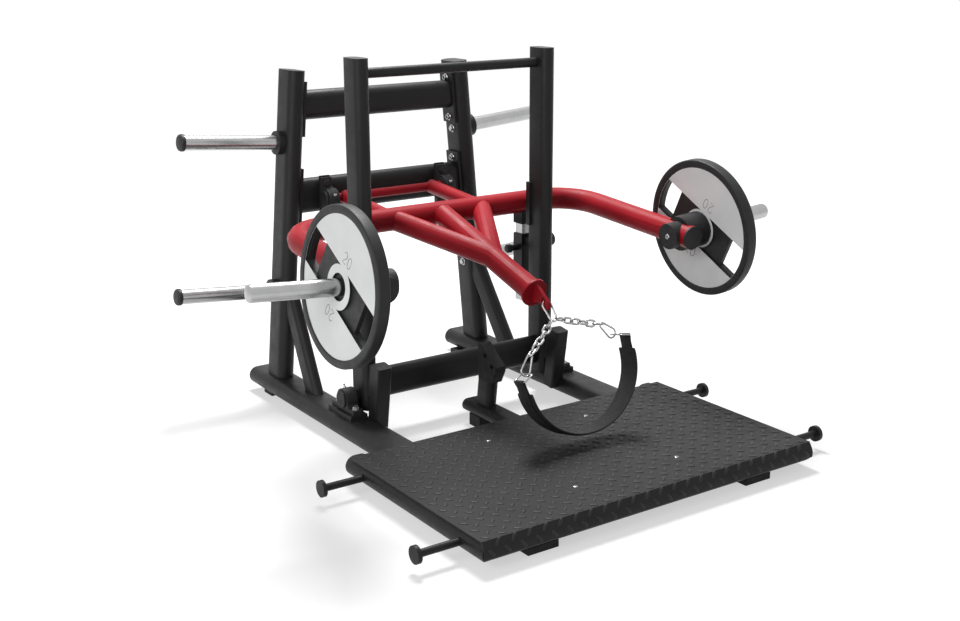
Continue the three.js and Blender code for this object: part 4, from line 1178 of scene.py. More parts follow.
@dataclass
class RearFrame:
    """Rear uprights' lean, with the fasteners and caps that sit on them."""

    upright_y: float = 0.832 - MIDDLE_Y
    foot_x: float = 0.414
    top_x: float = 0.324
    foot_z: float = 0.081
    top_z: float = 1.133
    thin: float = 0.060
    seat_gap: float = 0.0003
    flange_thickness: float = 0.010
    bolt_rows: dict[str, tuple[float, tuple[float, float]]] = field(
        default_factory=lambda: {
            "upper": (1.013, (0.064, -0.080)),
            "lower": (0.7035, (0.081, -0.081)),
        }
    )
    horn_heights: dict[str, float] = field(
        default_factory=lambda: {"upper": 0.8896, "lower": 0.382}
    )
    horn_reach: float = 0.362
    cap_length: float = 0.0148
    cap_radius: float = 0.0282
    cap_round: float = 0.009
    cap_round_steps: int = 6
    cap_proud: float = 0.0016
    cap_segments: int = 40
    beam_bolt: HexBolt = field(default_factory=HexBolt)
    horn_bolt: HexBolt = field(default_factory=lambda: HexBolt(flange_radius=0.0145))

    def lean(self) -> float:
        """Gives the uprights' lean in radians."""
        return math.atan2(self.foot_x - self.top_x, self.top_z - self.foot_z)

    def up(self, side: int) -> Vector:
        """Gives the direction of an upright."""
        return Vector((-side * math.sin(self.lean()), 0, math.cos(self.lean())))

    def out(self, side: int) -> Vector:
        """Gives the outward direction square to an upright."""
        return Vector((side * math.cos(self.lean()), 0, math.sin(self.lean())))

    def point(self, side: int, height: float) -> Vector:
        """Gives a point on an upright's middle line."""
        x = self.foot_x - (height - self.foot_z) * math.tan(self.lean())
        return Vector((side * x, self.upright_y, height))

    def bolts(self, maker: Maker) -> None:
        """Puts a bolt over each of the beams' plain heads.

        Args:
            maker: Hands the pieces over.
        """
        for way, side in SIDES.items():
            for row, (height, distances) in self.bolt_rows.items():
                for number, distance in enumerate(distances, 1):
                    reach = self.thin / 2 + self.seat_gap + self.flange_thickness
                    seat = self.point(side, height) - self.out(side) * reach
                    seat += self.up(side) * distance
                    frame = basis(-self.out(side), AXIS_Y, seat)
                    name = f"beam_bolt_{row}_{way}_{number}"
                    piece = self.beam_bolt.draft().place(frame).build(name)
                    maker.place(piece, Body.BASE, Slot.CHROME)

    def horn_bolts(self, maker: Maker) -> None:
        """Puts the storage horns' through bolts on the uprights' inner faces.

        Args:
            maker: Hands the pieces over.
        """
        for way, side in SIDES.items():
            for row, height in self.horn_heights.items():
                seat = self.point(side, height) - self.out(side) * self.thin / 2
                frame = basis(-self.out(side), AXIS_Y, seat)
                piece = self.horn_bolt.draft().place(frame).build(f"horn_bolt_{row}_{way}")
                maker.place(piece, Body.BASE, Slot.CHROME)

    def horn_caps(self, maker: Maker) -> None:
        """Pushes a domed cap over the end of each storage horn.

        Args:
            maker: Hands the pieces over.
        """
        for way, side in SIDES.items():
            for row, height in self.horn_heights.items():
                root = self.point(side, height) + self.out(side) * self.thin / 2
                start = self.horn_reach - self.cap_length
                profile = [(0, start), (self.cap_radius, start)]
                top = self.horn_reach + self.cap_proud
                profile += rounded_corner(
                    self.cap_radius, top, self.cap_round, self.cap_round_steps
                )
                profile.append((0, top + self.cap_proud))
                frame = basis(self.out(side), AXIS_Y, root)
                cap = revolved(profile, self.cap_segments).place(frame)
                piece = cap.build(f"horn_cap_{row}_{way}")
                maker.place(piece, Body.BASE, Slot.HARD_PLASTIC)

    def build(self, maker: Maker) -> None:
        """Makes bolts and caps.

        Args:
            maker: Hands the pieces over.
        """
        self.bolts(maker)
        self.horn_bolts(maker)
        self.horn_caps(maker)


@dataclass
class Bearing:
    """Small parts of the four pillow blocks: bolts, bearing insert and grease nipple."""

    rail_x: float = 0.416
    base_y: float = 0.342 - MIDDLE_Y
    base_foot_z: float = 0.0968
    arm_x: float = 0.234
    arm_foot_y: float = 0.7945 - MIDDLE_Y
    arm_z: float = 0.697
    foot_thickness: float = 0.014
    bolt_spread: float = 0.0525
    shaft_height: float = 0.0365
    width: float = 0.038
    hub_radius: float = 0.035
    insert_outer: float = 0.027
    insert_inner: float = 0.0135
    insert_proud: float = 0.0025
    race_width: float = 0.004
    groove: float = 0.001
    nipple_radius: float = 0.0035
    nipple_height: float = 0.013
    nipple_root: float = 0.004
    nipple_collar: float = 1.3
    nipple_steps: tuple[tuple[float, float], ...] = (
        (1.3, 0.3), (0.7, 0.4), (0.7, 0.62), (1.0, 0.76), (0.8, 0.94),
    )
    nipple_lean: float = 0.5
    nipple_segments: int = 18
    segments: int = 40
    bolt: HexBolt = field(
        default_factory=lambda: HexBolt(head_height=0.0095, flange_radius=0.0128)
    )
    end_cap_radius: float = 0.0282
    end_cap_x: float = 0.2533
    end_cap_length: float = 0.0075
    end_cap_round: float = 0.003

    def insert(self) -> Draft:
        """Makes the bearing's ring, which shows on a block's face.

        Returns:
            The ring round Z.
        """
        high, low = self.insert_proud, self.insert_proud - self.groove
        race, groove = self.race_width, self.race_width + self.groove
        return revolved(
            [
                (self.insert_inner, 0),
                (self.insert_inner, high),
                (self.insert_inner + race, high),
                (self.insert_inner + groove, low),
                (self.insert_outer - groove, low),
                (self.insert_outer - race, high),
                (self.insert_outer - self.groove, high),
                (self.insert_outer, 0),
                (self.insert_inner, 0),
            ],
            self.segments,
        )

    def nipple(self) -> Draft:
        """Makes the grease nipple.

        Returns:
            The nipple along Z.
        """
        r, h = self.nipple_radius, self.nipple_height
        profile = [(0, -self.nipple_root), (r * self.nipple_collar, -self.nipple_root)]
        profile += [(r * wide, h * high) for wide, high in self.nipple_steps]
        profile.append((0, h))
        return revolved(profile, self.nipple_segments)

    def build_one(
        self, maker: Maker, name: str, foot: Vector, up: Vector, bolts: Slot
    ) -> None:
        """Dresses one block.

        Args:
            maker: Hands the pieces over.
            name: Name of the block.
            foot: Middle of its foot.
            up: Direction from foot to shaft.
            bolts: Finish of its bolts.
        """
        along = up.cross(AXIS_X)
        for number, side in enumerate(SIDES.values(), 1):
            seat = foot + along * side * self.bolt_spread + up * self.foot_thickness
            bolt = self.bolt.draft().place(basis(up, AXIS_X, seat))
            maker.place(bolt.build(f"{name}_bolt_{number}"), Body.BASE, bolts)
        shaft = foot + up * self.shaft_height
        for way, side in SIDES.items():
            face = shaft + AXIS_X * side * self.width / 2
            ring = self.insert().place(basis(AXIS_X * side, up, face))
            maker.place(ring.build(f"{name}_insert_{way}"), Body.BASE, Slot.CAST_IRON)
        towards = along if up == AXIS_Z else AXIS_Z
        lean = (up + towards * self.nipple_lean).normalized()
        nipple = self.nipple().place(basis(lean, AXIS_X, shaft + lean * self.hub_radius))
        maker.place(nipple.build(f"{name}_nipple"), Body.BASE, Slot.CHROME)

    def end_cap(self, maker: Maker, way: str, side: int) -> None:
        """Closes the axle's end beside an arm block.

        Args:
            maker: Hands the piece over.
            way: Name of the side.
            side: Which side.
        """
        start = Vector((side * self.end_cap_x, self.arm_foot_y - self.shaft_height, self.arm_z))
        profile = [(0, 0), (self.end_cap_radius, 0)]
        profile += rounded_corner(
            self.end_cap_radius, self.end_cap_length, self.end_cap_round
        )
        profile.append((0, self.end_cap_length))
        cap = revolved(profile, self.segments).place(basis(AXIS_X * side, AXIS_Z, start))
        maker.place(cap.build(f"axle_cap_{way}"), Body.LEVER_ARM, Slot.HARD_PLASTIC)

    def build(self, maker: Maker) -> None:
        """Dresses the four blocks and closes the arm's axle.

        Args:
            maker: Hands the pieces over.
        """
        for way, side in SIDES.items():
            foot = Vector((side * self.rail_x, self.base_y, self.base_foot_z))
            self.build_one(maker, f"base_block_{way}", foot, AXIS_Z, Slot.CHROME)
            foot = Vector((side * self.arm_x, self.arm_foot_y, self.arm_z))
            self.build_one(maker, f"arm_block_{way}", foot, -AXIS_Y, Slot.CAST_IRON)
            self.end_cap(maker, way, side)


@dataclass
class PlateHorn:
    """Axis of the lever arm's plate horns, and the bolts of their inner caps."""

    yoke_half: float = 0.566
    horn_y: float = -0.120 - MIDDLE_Y
    back_y: float = 0.445 - MIDDLE_Y
    back_z: float = 0.671
    slope: float = math.radians(4.15)
    tilt: float = math.radians(4.7)
    cap_from: float = 0.052
    bolt: RoundBolt = field(
        default_factory=lambda: RoundBolt(
            radius=0.0095, height=0.004, socket=0.0035, socket_depth=0.0025
        )
    )

    def origin(self, side: int) -> Vector:
        """Gives the point where a horn's axis meets the yoke's middle line."""
        z = self.back_z - (self.back_y - self.horn_y) * math.tan(self.slope)
        return Vector((side * self.yoke_half, self.horn_y, z))

    def axis(self, side: int) -> Vector:
        """Gives the outward direction of a horn."""
        return Vector((side * math.cos(self.tilt), 0, math.sin(self.tilt)))

    def build(self, maker: Maker) -> None:
        """Puts a bolt in the middle of each inner cap.

        Args:
            maker: Hands the pieces over.
        """
        for way, side in SIDES.items():
            face = self.origin(side) - self.axis(side) * self.cap_from
            frame = basis(-self.axis(side), AXIS_Z, face)
            piece = self.bolt.draft().place(frame).build(f"inner_cap_bolt_{way}")
            maker.place(piece, Body.LEVER_ARM, Slot.CHROME)


@dataclass
class WeightPlate:
    """A 20 kg plate: black rim and band, white faces, two hand windows and plain digits."""

    radius: float = 0.225
    thickness: float = 0.036
    rim_width: float = 0.025
    rim_round: float = 0.0045
    rim_steps: int = 4
    rim_slope: tuple[tuple[float, float], ...] = ((0.002, 0.0006), (0.004, 0.0))
    face_inset: float = 0.003
    hub_radius: float = 0.064
    bore: float = 0.0255
    counterbore: float = 0.039
    counterbore_depth: float = 0.008
    band_half: float = 0.060
    band_inset: float = 0.008
    band_turn: float = math.radians(28.5)
    band_gap: float = 0.0006
    band_steps: int = 24
    hub_share: float = 0.999  # keeps the band's inner corners just inside its edges
    window_from: float = 0.127
    window_margin: float = 0.002
    cutter_over: float = 0.01
    seat: float = 0.083
    segments: int = 128
    weld: float = 0.00002
    flat_angle: float = math.radians(0.2)
    sharp: float = 32.0
    paint_reach: float = 0.0002
    digit_size: float = 0.034
    digit_width_share: float = 0.5
    digit_gap_share: float = 0.38
    two_bend_share: float = 0.72
    two_from: float = math.radians(170)
    two_to: float = math.radians(-35)
    two_steps: int = 14
    nought_steps: int = 28
    digit_middle: float = 0.092
    digit_line: float = 0.0009
    digit_sink: float = 0.0004
    digit_sides: int = 8
    digit_sharp: float = 80.0

    def disc(self) -> Draft:
        """Turns the plate without its band and windows.

        Returns:
            The disc round Z, from zero to its thickness.
        """
        low = self.face_inset
        inner = self.radius - self.rim_width
        half = [(self.counterbore, low), (inner, low)]
        half += [(inner + out, height) for out, height in self.rim_slope]
        corner = rounded_corner(
            self.radius, self.thickness, self.rim_round, self.rim_steps, True
        )
        half += [(r, self.thickness - h) for r, h in corner]
        upper = [(r, self.thickness - h) for r, h in reversed(half)]
        floor_low = self.face_inset + self.counterbore_depth
        floor_high = self.thickness - floor_low
        profile = [(self.bore, floor_low), (self.counterbore, floor_low), *half, *upper,
                   (self.counterbore, floor_high), (self.bore, floor_high),
                   (self.bore, floor_low)]
        return revolved(profile, self.segments)

    def band_outline(
        self, side: int, start: float, end: float, half: float
    ) -> list[tuple[float, float]]:
        """Draws one end of the band between two radii.

        Args:
            side: One end or the other.
            start: Radius or distance of the inner line.
            end: Outer radius.
            half: Half the width.

        Returns:
            Outline points, anticlockwise.
        """
        shares = [2 * at / self.band_steps - 1 for at in range(self.band_steps + 1)]
        reach = math.asin(half / end)
        points = [(end * math.cos(reach * t), end * math.sin(reach * t)) for t in shares]
        if start <= self.hub_radius:
            lean = -math.asin(half / start * self.hub_share)
            points += [(start * math.cos(lean * t), start * math.sin(lean * t)) for t in shares]
        else:
            points += [(start, half), (start, -half)]
        return [(side * x, side * y) for x, y in points]

    def cutters(self) -> list[Draft]:
        """Makes what is cut away: four recesses and two windows.

        Returns:
            The cutters.
        """
        inner = self.radius - self.rim_width
        deep, over = self.face_inset + self.band_inset, self.cutter_over
        made = []
        for side in SIDES.values():
            band = self.band_outline(
                side, self.hub_radius, inner - self.band_gap, self.band_half
            )
            made.append(prism(band, -over, deep))
            made.append(prism(band, self.thickness - deep, self.thickness + over))
            window = self.band_outline(
                side, self.window_from, inner - self.window_margin,
                self.band_half - self.window_margin,
            )
            made.append(prism(window, -over, self.thickness + over))
        return made

    @staticmethod
    def settle(piece: bpy.types.Object) -> None:
        """Turns the piece's modifiers into plain mesh.

        Args:
            piece: The piece, with its modifiers.
        """
        graph = bpy.context.evaluated_depsgraph_get()
        mesh = bpy.data.meshes.new_from_object(piece.evaluated_get(graph))
        piece.modifiers.clear()
        piece.data = mesh

    def clean(self, mesh: bpy.types.Mesh) -> None:
        """Joins the slivers that cutting leaves to the flat faces beside them.

        Args:
            mesh: The cut mesh.
        """
        work = bmesh.new()
        work.from_mesh(mesh)
        bmesh.ops.remove_doubles(work, verts=work.verts, dist=self.weld)
        bmesh.ops.dissolve_degenerate(work, edges=work.edges, dist=self.weld)
        bmesh.ops.dissolve_limit(
            work, angle_limit=self.flat_angle, verts=work.verts, edges=work.edges
        )
        work.to_mesh(mesh)
        work.free()

    def carve(self, name: str) -> bpy.types.Object:
        """Cuts recesses and windows out of the disc.

        Args:
            name: Name of the plate.

        Returns:
            The carved plate, round Z.
        """
        plate = self.disc().build(name)
        bpy.context.view_layer.update()
        tools = []
        for number, draft in enumerate(self.cutters()):
            tool = draft.build(f"{name}_cutter_{number}")
            tools.append(tool)
            cut = plate.modifiers.new(f"cut_{number}", "BOOLEAN")
            cut.operation = "DIFFERENCE"
            cut.solver = "EXACT"
            cut.object = tool
        self.settle(plate)
        for tool in tools:
            bpy.data.objects.remove(tool)
        self.clean(plate.data)
        mesh = plate.data
        mesh.name = name
        mesh.shade_smooth()
        mesh.set_sharp_from_angle(angle=math.radians(self.sharp))
        return plate

    def paint(self, plate: bpy.types.Object, rack: FinishRack) -> None:
        """Paints the raised faces white and leaves the rest black.

        Args:
            plate: The carved plate.
            rack: Finishes.
        """
        plate.data.materials.clear()
        plate.data.materials.append(rack.of(Slot.PLATE_COAT))
        plate.data.materials.append(rack.of(Slot.PLATE_PAINT))
        points = plate.data.vertices
        for face in plate.data.polygons:
            heights = [points[index].co.z for index in face.vertices]
            depths = [min(height, self.thickness - height) for height in heights]
            raised = all(abs(depth - self.face_inset) < self.paint_reach for depth in depths)
            face.material_index = 1 if raised else 0

    def strokes(self) -> list[tuple[list[Vector], bool]]:
        """Draws a two and a nought, side by side, about the middle of their height.

        Returns:
            Points of each stroke, and whether it is closed.
        """
        high, wide = self.digit_size, self.digit_size * self.digit_width_share
        gap = self.digit_size * self.digit_gap_share
        middle = Vector((-gap, high * (self.two_bend_share - 0.5), 0))
        bend = high * (1 - self.two_bend_share)
        two = []
        for at in range(self.two_steps + 1):
            turn = self.two_from + (self.two_to - self.two_from) * at / self.two_steps
            two.append(middle + Vector((wide / 2 * math.cos(turn), bend * math.sin(turn), 0)))
        two += [Vector((-gap + side * wide / 2, -high / 2, 0)) for side in SIDES.values()]
        nought = []
        for at in range(self.nought_steps):
            turn = 2 * math.pi * at / self.nought_steps
            nought.append(Vector((gap + wide / 2 * math.cos(turn), high / 2 * math.sin(turn), 0)))
        return [(two, False), (nought, True)]

    def digits(self, name: str, rack: FinishRack) -> bpy.types.Object:
        """Draws the plate's weight in thin lines, once on each white part of each face.

        Args:
            name: Name of the piece.
            rack: Finishes.

        Returns:
            The lines, round Z.
        """
        draft = Draft()
        inner = Matrix.Rotation(math.pi, 4, "Y") @ Matrix.Rotation(math.pi, 4, "Z")
        faces = (
            (self.face_inset + self.digit_sink, inner),
            (self.thickness - self.face_inset - self.digit_sink, Matrix.Identity(4)),
        )
        for height, flip in faces:
            for turn in (0.0, math.pi):
                frame = Matrix.Rotation(turn, 4, "Z")
                frame = frame @ Matrix.Translation((0, self.digit_middle, height)) @ flip
                for path, closed in self.strokes():
                    line = wire(path, self.digit_line, self.digit_sides, closed)
                    draft.add(line.place(frame))
        piece = draft.build(name, self.digit_sharp)
        piece.data.materials.append(rack.of(Slot.DIGIT_PAINT))
        return piece

    def build(self, maker: Maker, horn: PlateHorn) -> None:
        """Hangs a plate on each horn.

        Args:
            maker: Hands the pieces over.
            horn: The horns' axes.
        """
        for way, side in SIDES.items():
            axis = horn.axis(side)
            up = Vector((-side * math.sin(horn.tilt), 0, math.cos(horn.tilt)))
            band = AXIS_Y * math.cos(self.band_turn) + up * math.sin(self.band_turn)
            seat = horn.origin(side) + axis * self.seat
            frame = basis(axis, band, seat)
            plate = self.carve(f"bumper_plate_{way}")
            self.paint(plate, maker.rack)
            plate.data.transform(frame)
            body = Body.PLATE_LEFT if side < 0 else Body.PLATE_RIGHT
            maker.place(plate, body, Slot.PLATE_COAT, [f"weight_plate_{way}"])
            digits = self.digits(f"plate_digits_{way}", maker.rack)
            digits.data.transform(frame)
            maker.place(digits, body, Slot.PLATE_COAT)


@dataclass
class SnapLink:
    """A pear shaped snap link with a sprung gate, laid where a frame node is."""

    node: str
    wide_outward: bool = True
    narrow_share: float = 0.52
    gate_from: float = 0.2
    gate_to: float = 0.8
    gate_ring_half: float = 0.9  # these two count in the wire's radius
    gate_ring_radius: float = 1.22
    arc_steps: int = 14
    wire_sides: int = 14
    sharp: float = 50.0

    def frame_of(self, vertices: np.ndarray) -> tuple[Matrix, Vector]:
        """Measures the node's place and size.

        Args:
            vertices: Its points, one a row.

        Returns:
            A frame with X lengthways and Y across, and the node's size in it.
        """
        centre = vertices.mean(axis=0)
        _, _, rows = np.linalg.svd(vertices - centre, full_matrices=False)
        lengthways, across = Vector(rows[0]), Vector(rows[1])
        outward = lengthways.dot(Vector(centre) - HOOK) > 0
        if outward != self.wide_outward:
            lengthways.negate()
        normal = lengthways.cross(across)
        spread = (vertices - centre) @ np.array([lengthways, across, normal]).T
        low, high = spread.min(axis=0), spread.max(axis=0)
        middle = centre + ((low + high) / 2) @ np.array([lengthways, across, normal])
        turn = Matrix((lengthways, across, normal)).transposed().to_4x4()
        return Matrix.Translation(Vector(middle)) @ turn, Vector(high - low)

    def outline(self, size: Vector) -> list[Vector]:
        """Draws the wire's middle line: a belt round a wide and a narrow bend.

        Args:
            size: Length, width and wire thickness.

        Returns:
            Points of the closed line.
        """
        wide = (size.y - size.z) / 2
        narrow = wide * self.narrow_share
        span = size.x - size.z - wide - narrow
        wide_x = (size.x - size.z) / 2 - wide
        narrow_x = wide_x - span
        lean = math.asin((wide - narrow) / span)
        limit = math.pi / 2 + lean
        points = []
        for at in range(self.arc_steps + 1):
            turn = -limit + 2 * limit * at / self.arc_steps
            points.append(Vector((wide_x + wide * math.cos(turn), wide * math.sin(turn), 0)))
        limit = math.pi / 2 - lean
        for at in range(self.arc_steps + 1):
            turn = math.pi - limit + 2 * limit * at / self.arc_steps
            points.append(
                Vector((narrow_x + narrow * math.cos(turn), narrow * math.sin(turn), 0))
            )
        return points

    def build(self, maker: Maker, node: bpy.types.Object) -> None:
        """Lays the link.

        Args:
            maker: Hands the piece over.
            node: The node that it stands for.
        """
        count = len(node.data.vertices)
        flat = np.empty(3 * count)
        node.data.vertices.foreach_get("co", flat)
        frame, size = self.frame_of(flat.reshape(-1, 3))
        path = self.outline(size)
        radius = size.z / 2
        draft = wire(path, radius, self.wire_sides, closed=True)
        start, end = path[self.arc_steps], path[self.arc_steps + 1]
        for share in (self.gate_from, self.gate_to):
            middle = start.lerp(end, share)
            reach = (end - start).normalized() * radius * self.gate_ring_half
            line = [middle - reach, middle + reach]
            draft.add(wire(line, radius * self.gate_ring_radius, self.wire_sides))
        piece = draft.place(frame).build(f"{self.node}_wire", self.sharp)
        maker.place(piece, Body.BELT_SET, Slot.CHROME, [self.node])


@dataclass
class Chain:
    """Two slack chains of welded links between the hook's snap link and the belt's."""

    hook_length: float = 0.074
    hook_width: float = 0.036
    hook_wire: float = 0.007
    hook_corner: float = 0.011
    hook_dive: float = math.radians(57)
    hook_turn: float = math.radians(35)
    hook_plate: float = 0.011
    hook_hole: float = 0.009
    gap: float = 0.0003
    pitch_length: float = 0.0345
    pitch_wire: float = 0.0055
    link_length: float = 0.0368
    link_width: float = 0.0258
    link_wire: float = 0.0068
    links: int = 6
    bite: float = 0.001
    twist: float = math.radians(-71.4)
    start_run: tuple[float, float, float] = (0.128, -0.050, -0.062)
    end_run: tuple[float, float, float] = (0.128, -0.046, -0.046)
    bend_steps: int = 10
    wire_sides: int = 12
    sharp: float = 60.0

    def dive(self) -> Vector:
        """Gives the direction of the hook's snap link."""
        return Vector((0, -math.cos(self.hook_dive), -math.sin(self.hook_dive)))

    def course(self, side: int, number: int) -> Vector:
        """Gives a link's direction.

        Args:
            side: Which chain.
            number: Which link.

        Returns:
            Its direction.
        """
        start, end = (
            Vector((side * x, y, z)).normalized() for x, y, z in (self.start_run, self.end_run)
        )
        return start.lerp(end, number / (self.links - 1)).normalized()

    def centre(self, side: int, number: int) -> Vector:
        """Gives a link's middle, measured from the hook's hole.

        Args:
            side: Which chain.
            number: Which link.

        Returns:
            Its middle.
        """
        askew = self.hook_plate / 2 * abs(math.sin(BELT_ROLL))
        lift = self.hook_hole - self.hook_wire / 2 - askew - 2 * self.gap
        bend = self.hook_corner - self.hook_wire / 2
        run = self.hook_length - self.hook_wire / 2 + lift - self.hook_corner
        run += bend * math.sin(self.hook_turn)
        spread = self.hook_width / 2 - self.hook_corner + bend * math.cos(self.hook_turn)
        inner = self.pitch_length / 2 - self.pitch_wire
        place = self.dive() * run + AXIS_X * side * spread
        place += self.course(side, 0) * (inner - self.hook_wire / 2 - self.gap)
        for link in range(number):
            pair = self.course(side, link) + self.course(side, link + 1)
            place += pair * (inner + self.bite / 2)
        return place

    def link(self, side: int, number: int) -> Draft:
        """Makes one link.

        Args:
            side: Which chain.
            number: Which link.

        Returns:
            The link, in place.
        """
        radius = (self.link_width - self.link_wire) / 2
        reach = self.link_length / 2 - self.link_width / 2
        path = []
        for end in (1, -1):
            for at in range(self.bend_steps + 1):
                turn = math.pi * (at / self.bend_steps - 0.5)
                x = end * (reach + radius * math.cos(turn))
                path.append(Vector((x, end * radius * math.sin(turn), 0)))
        lengthways = self.course(side, number)
        bendwise = AXIS_X * side * math.sin(self.hook_turn)
        bendwise -= self.dive() * math.cos(self.hook_turn)
        across = bendwise.cross(lengthways).normalized()
        quarter = math.pi / 2 + side * self.twist / (self.links - 1)
        across = Matrix.Rotation(number * quarter, 3, lengthways) @ across
        normal = lengthways.cross(across)
        turn = Matrix((lengthways, across, normal)).transposed().to_4x4()
        local = Matrix.Translation(self.centre(side, number)) @ turn
        whole = Matrix.Translation(HOOK) @ Matrix.Rotation(BELT_ROLL, 4, "Y")
        line = wire(path, self.link_wire / 2, self.wire_sides, closed=True)
        return line.place(whole @ local)

    def build(self, maker: Maker) -> None:
        """Makes both chains.

        Args:
            maker: Hands the pieces over.
        """
        for way, side in SIDES.items():
            draft = Draft()
            for number in range(self.links):
                draft.add(self.link(side, number))
            piece = draft.build(f"chain_links_{way}", self.sharp)
            maker.place(piece, Body.BELT_SET, Slot.CHROME, [f"belt_chain_{way}"])


@dataclass
class HipBelt:
    """Padded hip belt: a crowned band, a narrower strap outside it, folded round the rings."""

    tilt: float = math.radians(13.6)
    centre_y: float = -0.116
    centre_z: float = -0.201
    radius_x: float = 0.196
    radius_z: float = 0.186
    width: float = 0.080
    thickness: float = 0.0078
    strap_width: float = 0.046
    strap_thickness: float = 0.0024
    strap_x: float = 0.203
    strap_rise: float = 0.040
    strap_press: float = 0.0004
    strap_soft: float = 0.6
    strap_flare: float = 0.002
    strap_climb: float = 0.03
    climb_shares: tuple[float, float] = (0.35, 0.7)
    strap_end: tuple[tuple[float, float], ...] = (
        (0.0015, -0.018), (-0.0006, 0.002), (-0.0045, 0.02),
    )
    ring_wire: float = 0.005
    ring_gap: float = 0.0003
    loop_steps: range = range(-2, 13)
    loop_half: int = 10  # such steps in half a turn
    stations: int = 96
    crown_sides: int = 10
    crown_across: float = 0.35
    crown_out: float = 0.6
    end_slim: tuple[float, float] = (0.55, 0.86)
    stitch_pitch: float = 0.006
    stitch_length: float = 0.0036
    stitch_radius: float = 0.0005
    stitch_inset: float = 0.006
    stitch_sink: float = 0.0002
    stitch_sides: int = 6
    block_from: float = 0.02
    block_pitch: float = 0.016
    block_rows: int = 3
    block_inset: float = 0.004
    pad_sharp: float = 60.0
    strap_sharp: float = 50.0

    def across(self) -> Vector:
        """Gives the direction of the belt's width."""
        return Vector((0, -math.cos(self.tilt), math.sin(self.tilt)))

    def down(self) -> Vector:
        """Gives the direction down the belt's plane."""
        return Vector((0, -math.sin(self.tilt), -math.cos(self.tilt)))

    def point(self, x: float, down: float, across: float = 0.0) -> Vector:
        """Gives a point of the belt in the frame of the whole object.

        Args:
            x: Place to the right.
            down: Place down the belt's plane.
            across: Place over its width.

        Returns:
            The point.
        """
        local = Vector((x, self.centre_y, self.centre_z))
        local += self.down() * down + self.across() * across
        return HOOK + Matrix.Rotation(BELT_ROLL, 3, "Y") @ local

    def course(self, lift: float = 0.0) -> list[tuple[float, float, float]]:
        """Walks along the half oval of the band.

        Args:
            lift: How far outside the middle line.

        Returns:
            X, way down and length so far at each station.
        """
        made = []
        length = 0.0
        before = None
        for at in range(self.stations + 1):
            turn = math.pi * at / self.stations
            normal = Vector((math.cos(turn) / self.radius_x, math.sin(turn) / self.radius_z))
            normal.normalize()
            here = Vector((self.radius_x * math.cos(turn), self.radius_z * math.sin(turn)))
            here += normal * lift
            if before is not None:
                length += (here - before).length
            before = here
            made.append((here.x, here.y, length))
        return made

    def section(self) -> list[tuple[float, float]]:
        """Draws the band's section: nearly flat faces, crowned, with round edges.

        Returns:
            Place across and place outward, anticlockwise.
        """
        half = self.width / 2
        thick = self.thickness / 2
        points = []
        count = 4 * self.crown_sides
        for at in range(count):
            turn = 2 * math.pi * at / count
            c, s = math.cos(turn), math.sin(turn)
            wide = math.copysign(abs(c) ** self.crown_across, c)
            tall = math.copysign(abs(s) ** self.crown_out, s)
            points.append((half * wide, thick * tall))
        return points

    def pad(self) -> Draft:
        """Sweeps the padded band along its course.

        Returns:
            The band.
        """
        draft = Draft()
        section = self.section()
        middle = self.course()
        outer = self.course(1.0)
        rings = []
        last = len(middle) - 1
        for at, ((x, down, length), (ox, odown, _)) in enumerate(zip(middle, outer)):
            out = Vector((ox - x, odown - down)).normalized()
            near = min(at, last - at)
            slim = self.end_slim[near] if near < len(self.end_slim) else 1.0
            points = [
                self.point(x + out.x * tall * slim, down + out.y * tall * slim, wide)
                for wide, tall in section
            ]
            spots = [(length, wide) for wide, _ in section]
            rings.append(draft.ring(points, spots))
        for first, second in zip(rings, rings[1:]):
            draft.skin(second, first)
        draft.cap(rings[0])
        draft.cap(rings[-1], flip=True)
        return draft

    def strap_course(self) -> list[Vector]:
        """Lays the strap's middle line in the belt's plane, from one ring to the other.

        Returns:
            X and way down at each station.
        """
        lift = self.thickness / 2 + self.strap_thickness / 2 - self.strap_press
        body = [Vector((x, down)) for x, down, _ in self.course(lift)]
        loop = self.ring_wire / 2 + self.strap_thickness / 2 + self.ring_gap
        ends = []
        for side in (1, -1):
            ring = Vector((side * self.strap_x, -self.strap_rise))
            outside = side * (self.radius_x + lift)
            rise = [
                Vector((outside + side * self.strap_flare * share, -self.strap_climb * share))
                for share in self.climb_shares
            ]
            turn = [
                ring + loop * Vector((side * math.cos(t), -math.sin(t)))
                for t in (math.pi * at / self.loop_half for at in self.loop_steps)
            ]
            inside = [
                Vector((side * (self.radius_x + out), down)) for out, down in self.strap_end
            ]
            ends.append([*rise, *turn, *inside])
        return [*reversed(ends[0]), *body, *ends[1]]

    def strap(self) -> Draft:
        """Sweeps the strap along its course.

        Returns:
            The strap.
        """
        course = self.strap_course()
        draft = Draft()
        rings = []
        length = 0.0
        half, thick = self.strap_width / 2, self.strap_thickness / 2
        soft = thick * self.strap_soft
        corners = [(half - soft, -thick), (half, -thick + soft), (half, thick - soft),
                   (half - soft, thick), (-half + soft, thick), (-half, thick - soft),
                   (-half, -thick + soft), (-half + soft, -thick)]
        for at, here in enumerate(course):
            before = course[max(at - 1, 0)]
            after = course[min(at + 1, len(course) - 1)]
            along = (after - before).normalized()
            out = Vector((along.y, -along.x))
            length += (here - before).length
            points = [self.point(here.x + out.x * tall, here.y + out.y * tall, wide)
                      for wide, tall in corners]
            rings.append(draft.ring(points, [(length, wide) for wide, _ in corners]))
        for first, second in zip(rings, rings[1:]):
            draft.skin(first, second)
        draft.cap(rings[0], flip=True)
        draft.cap(rings[-1])
        return draft

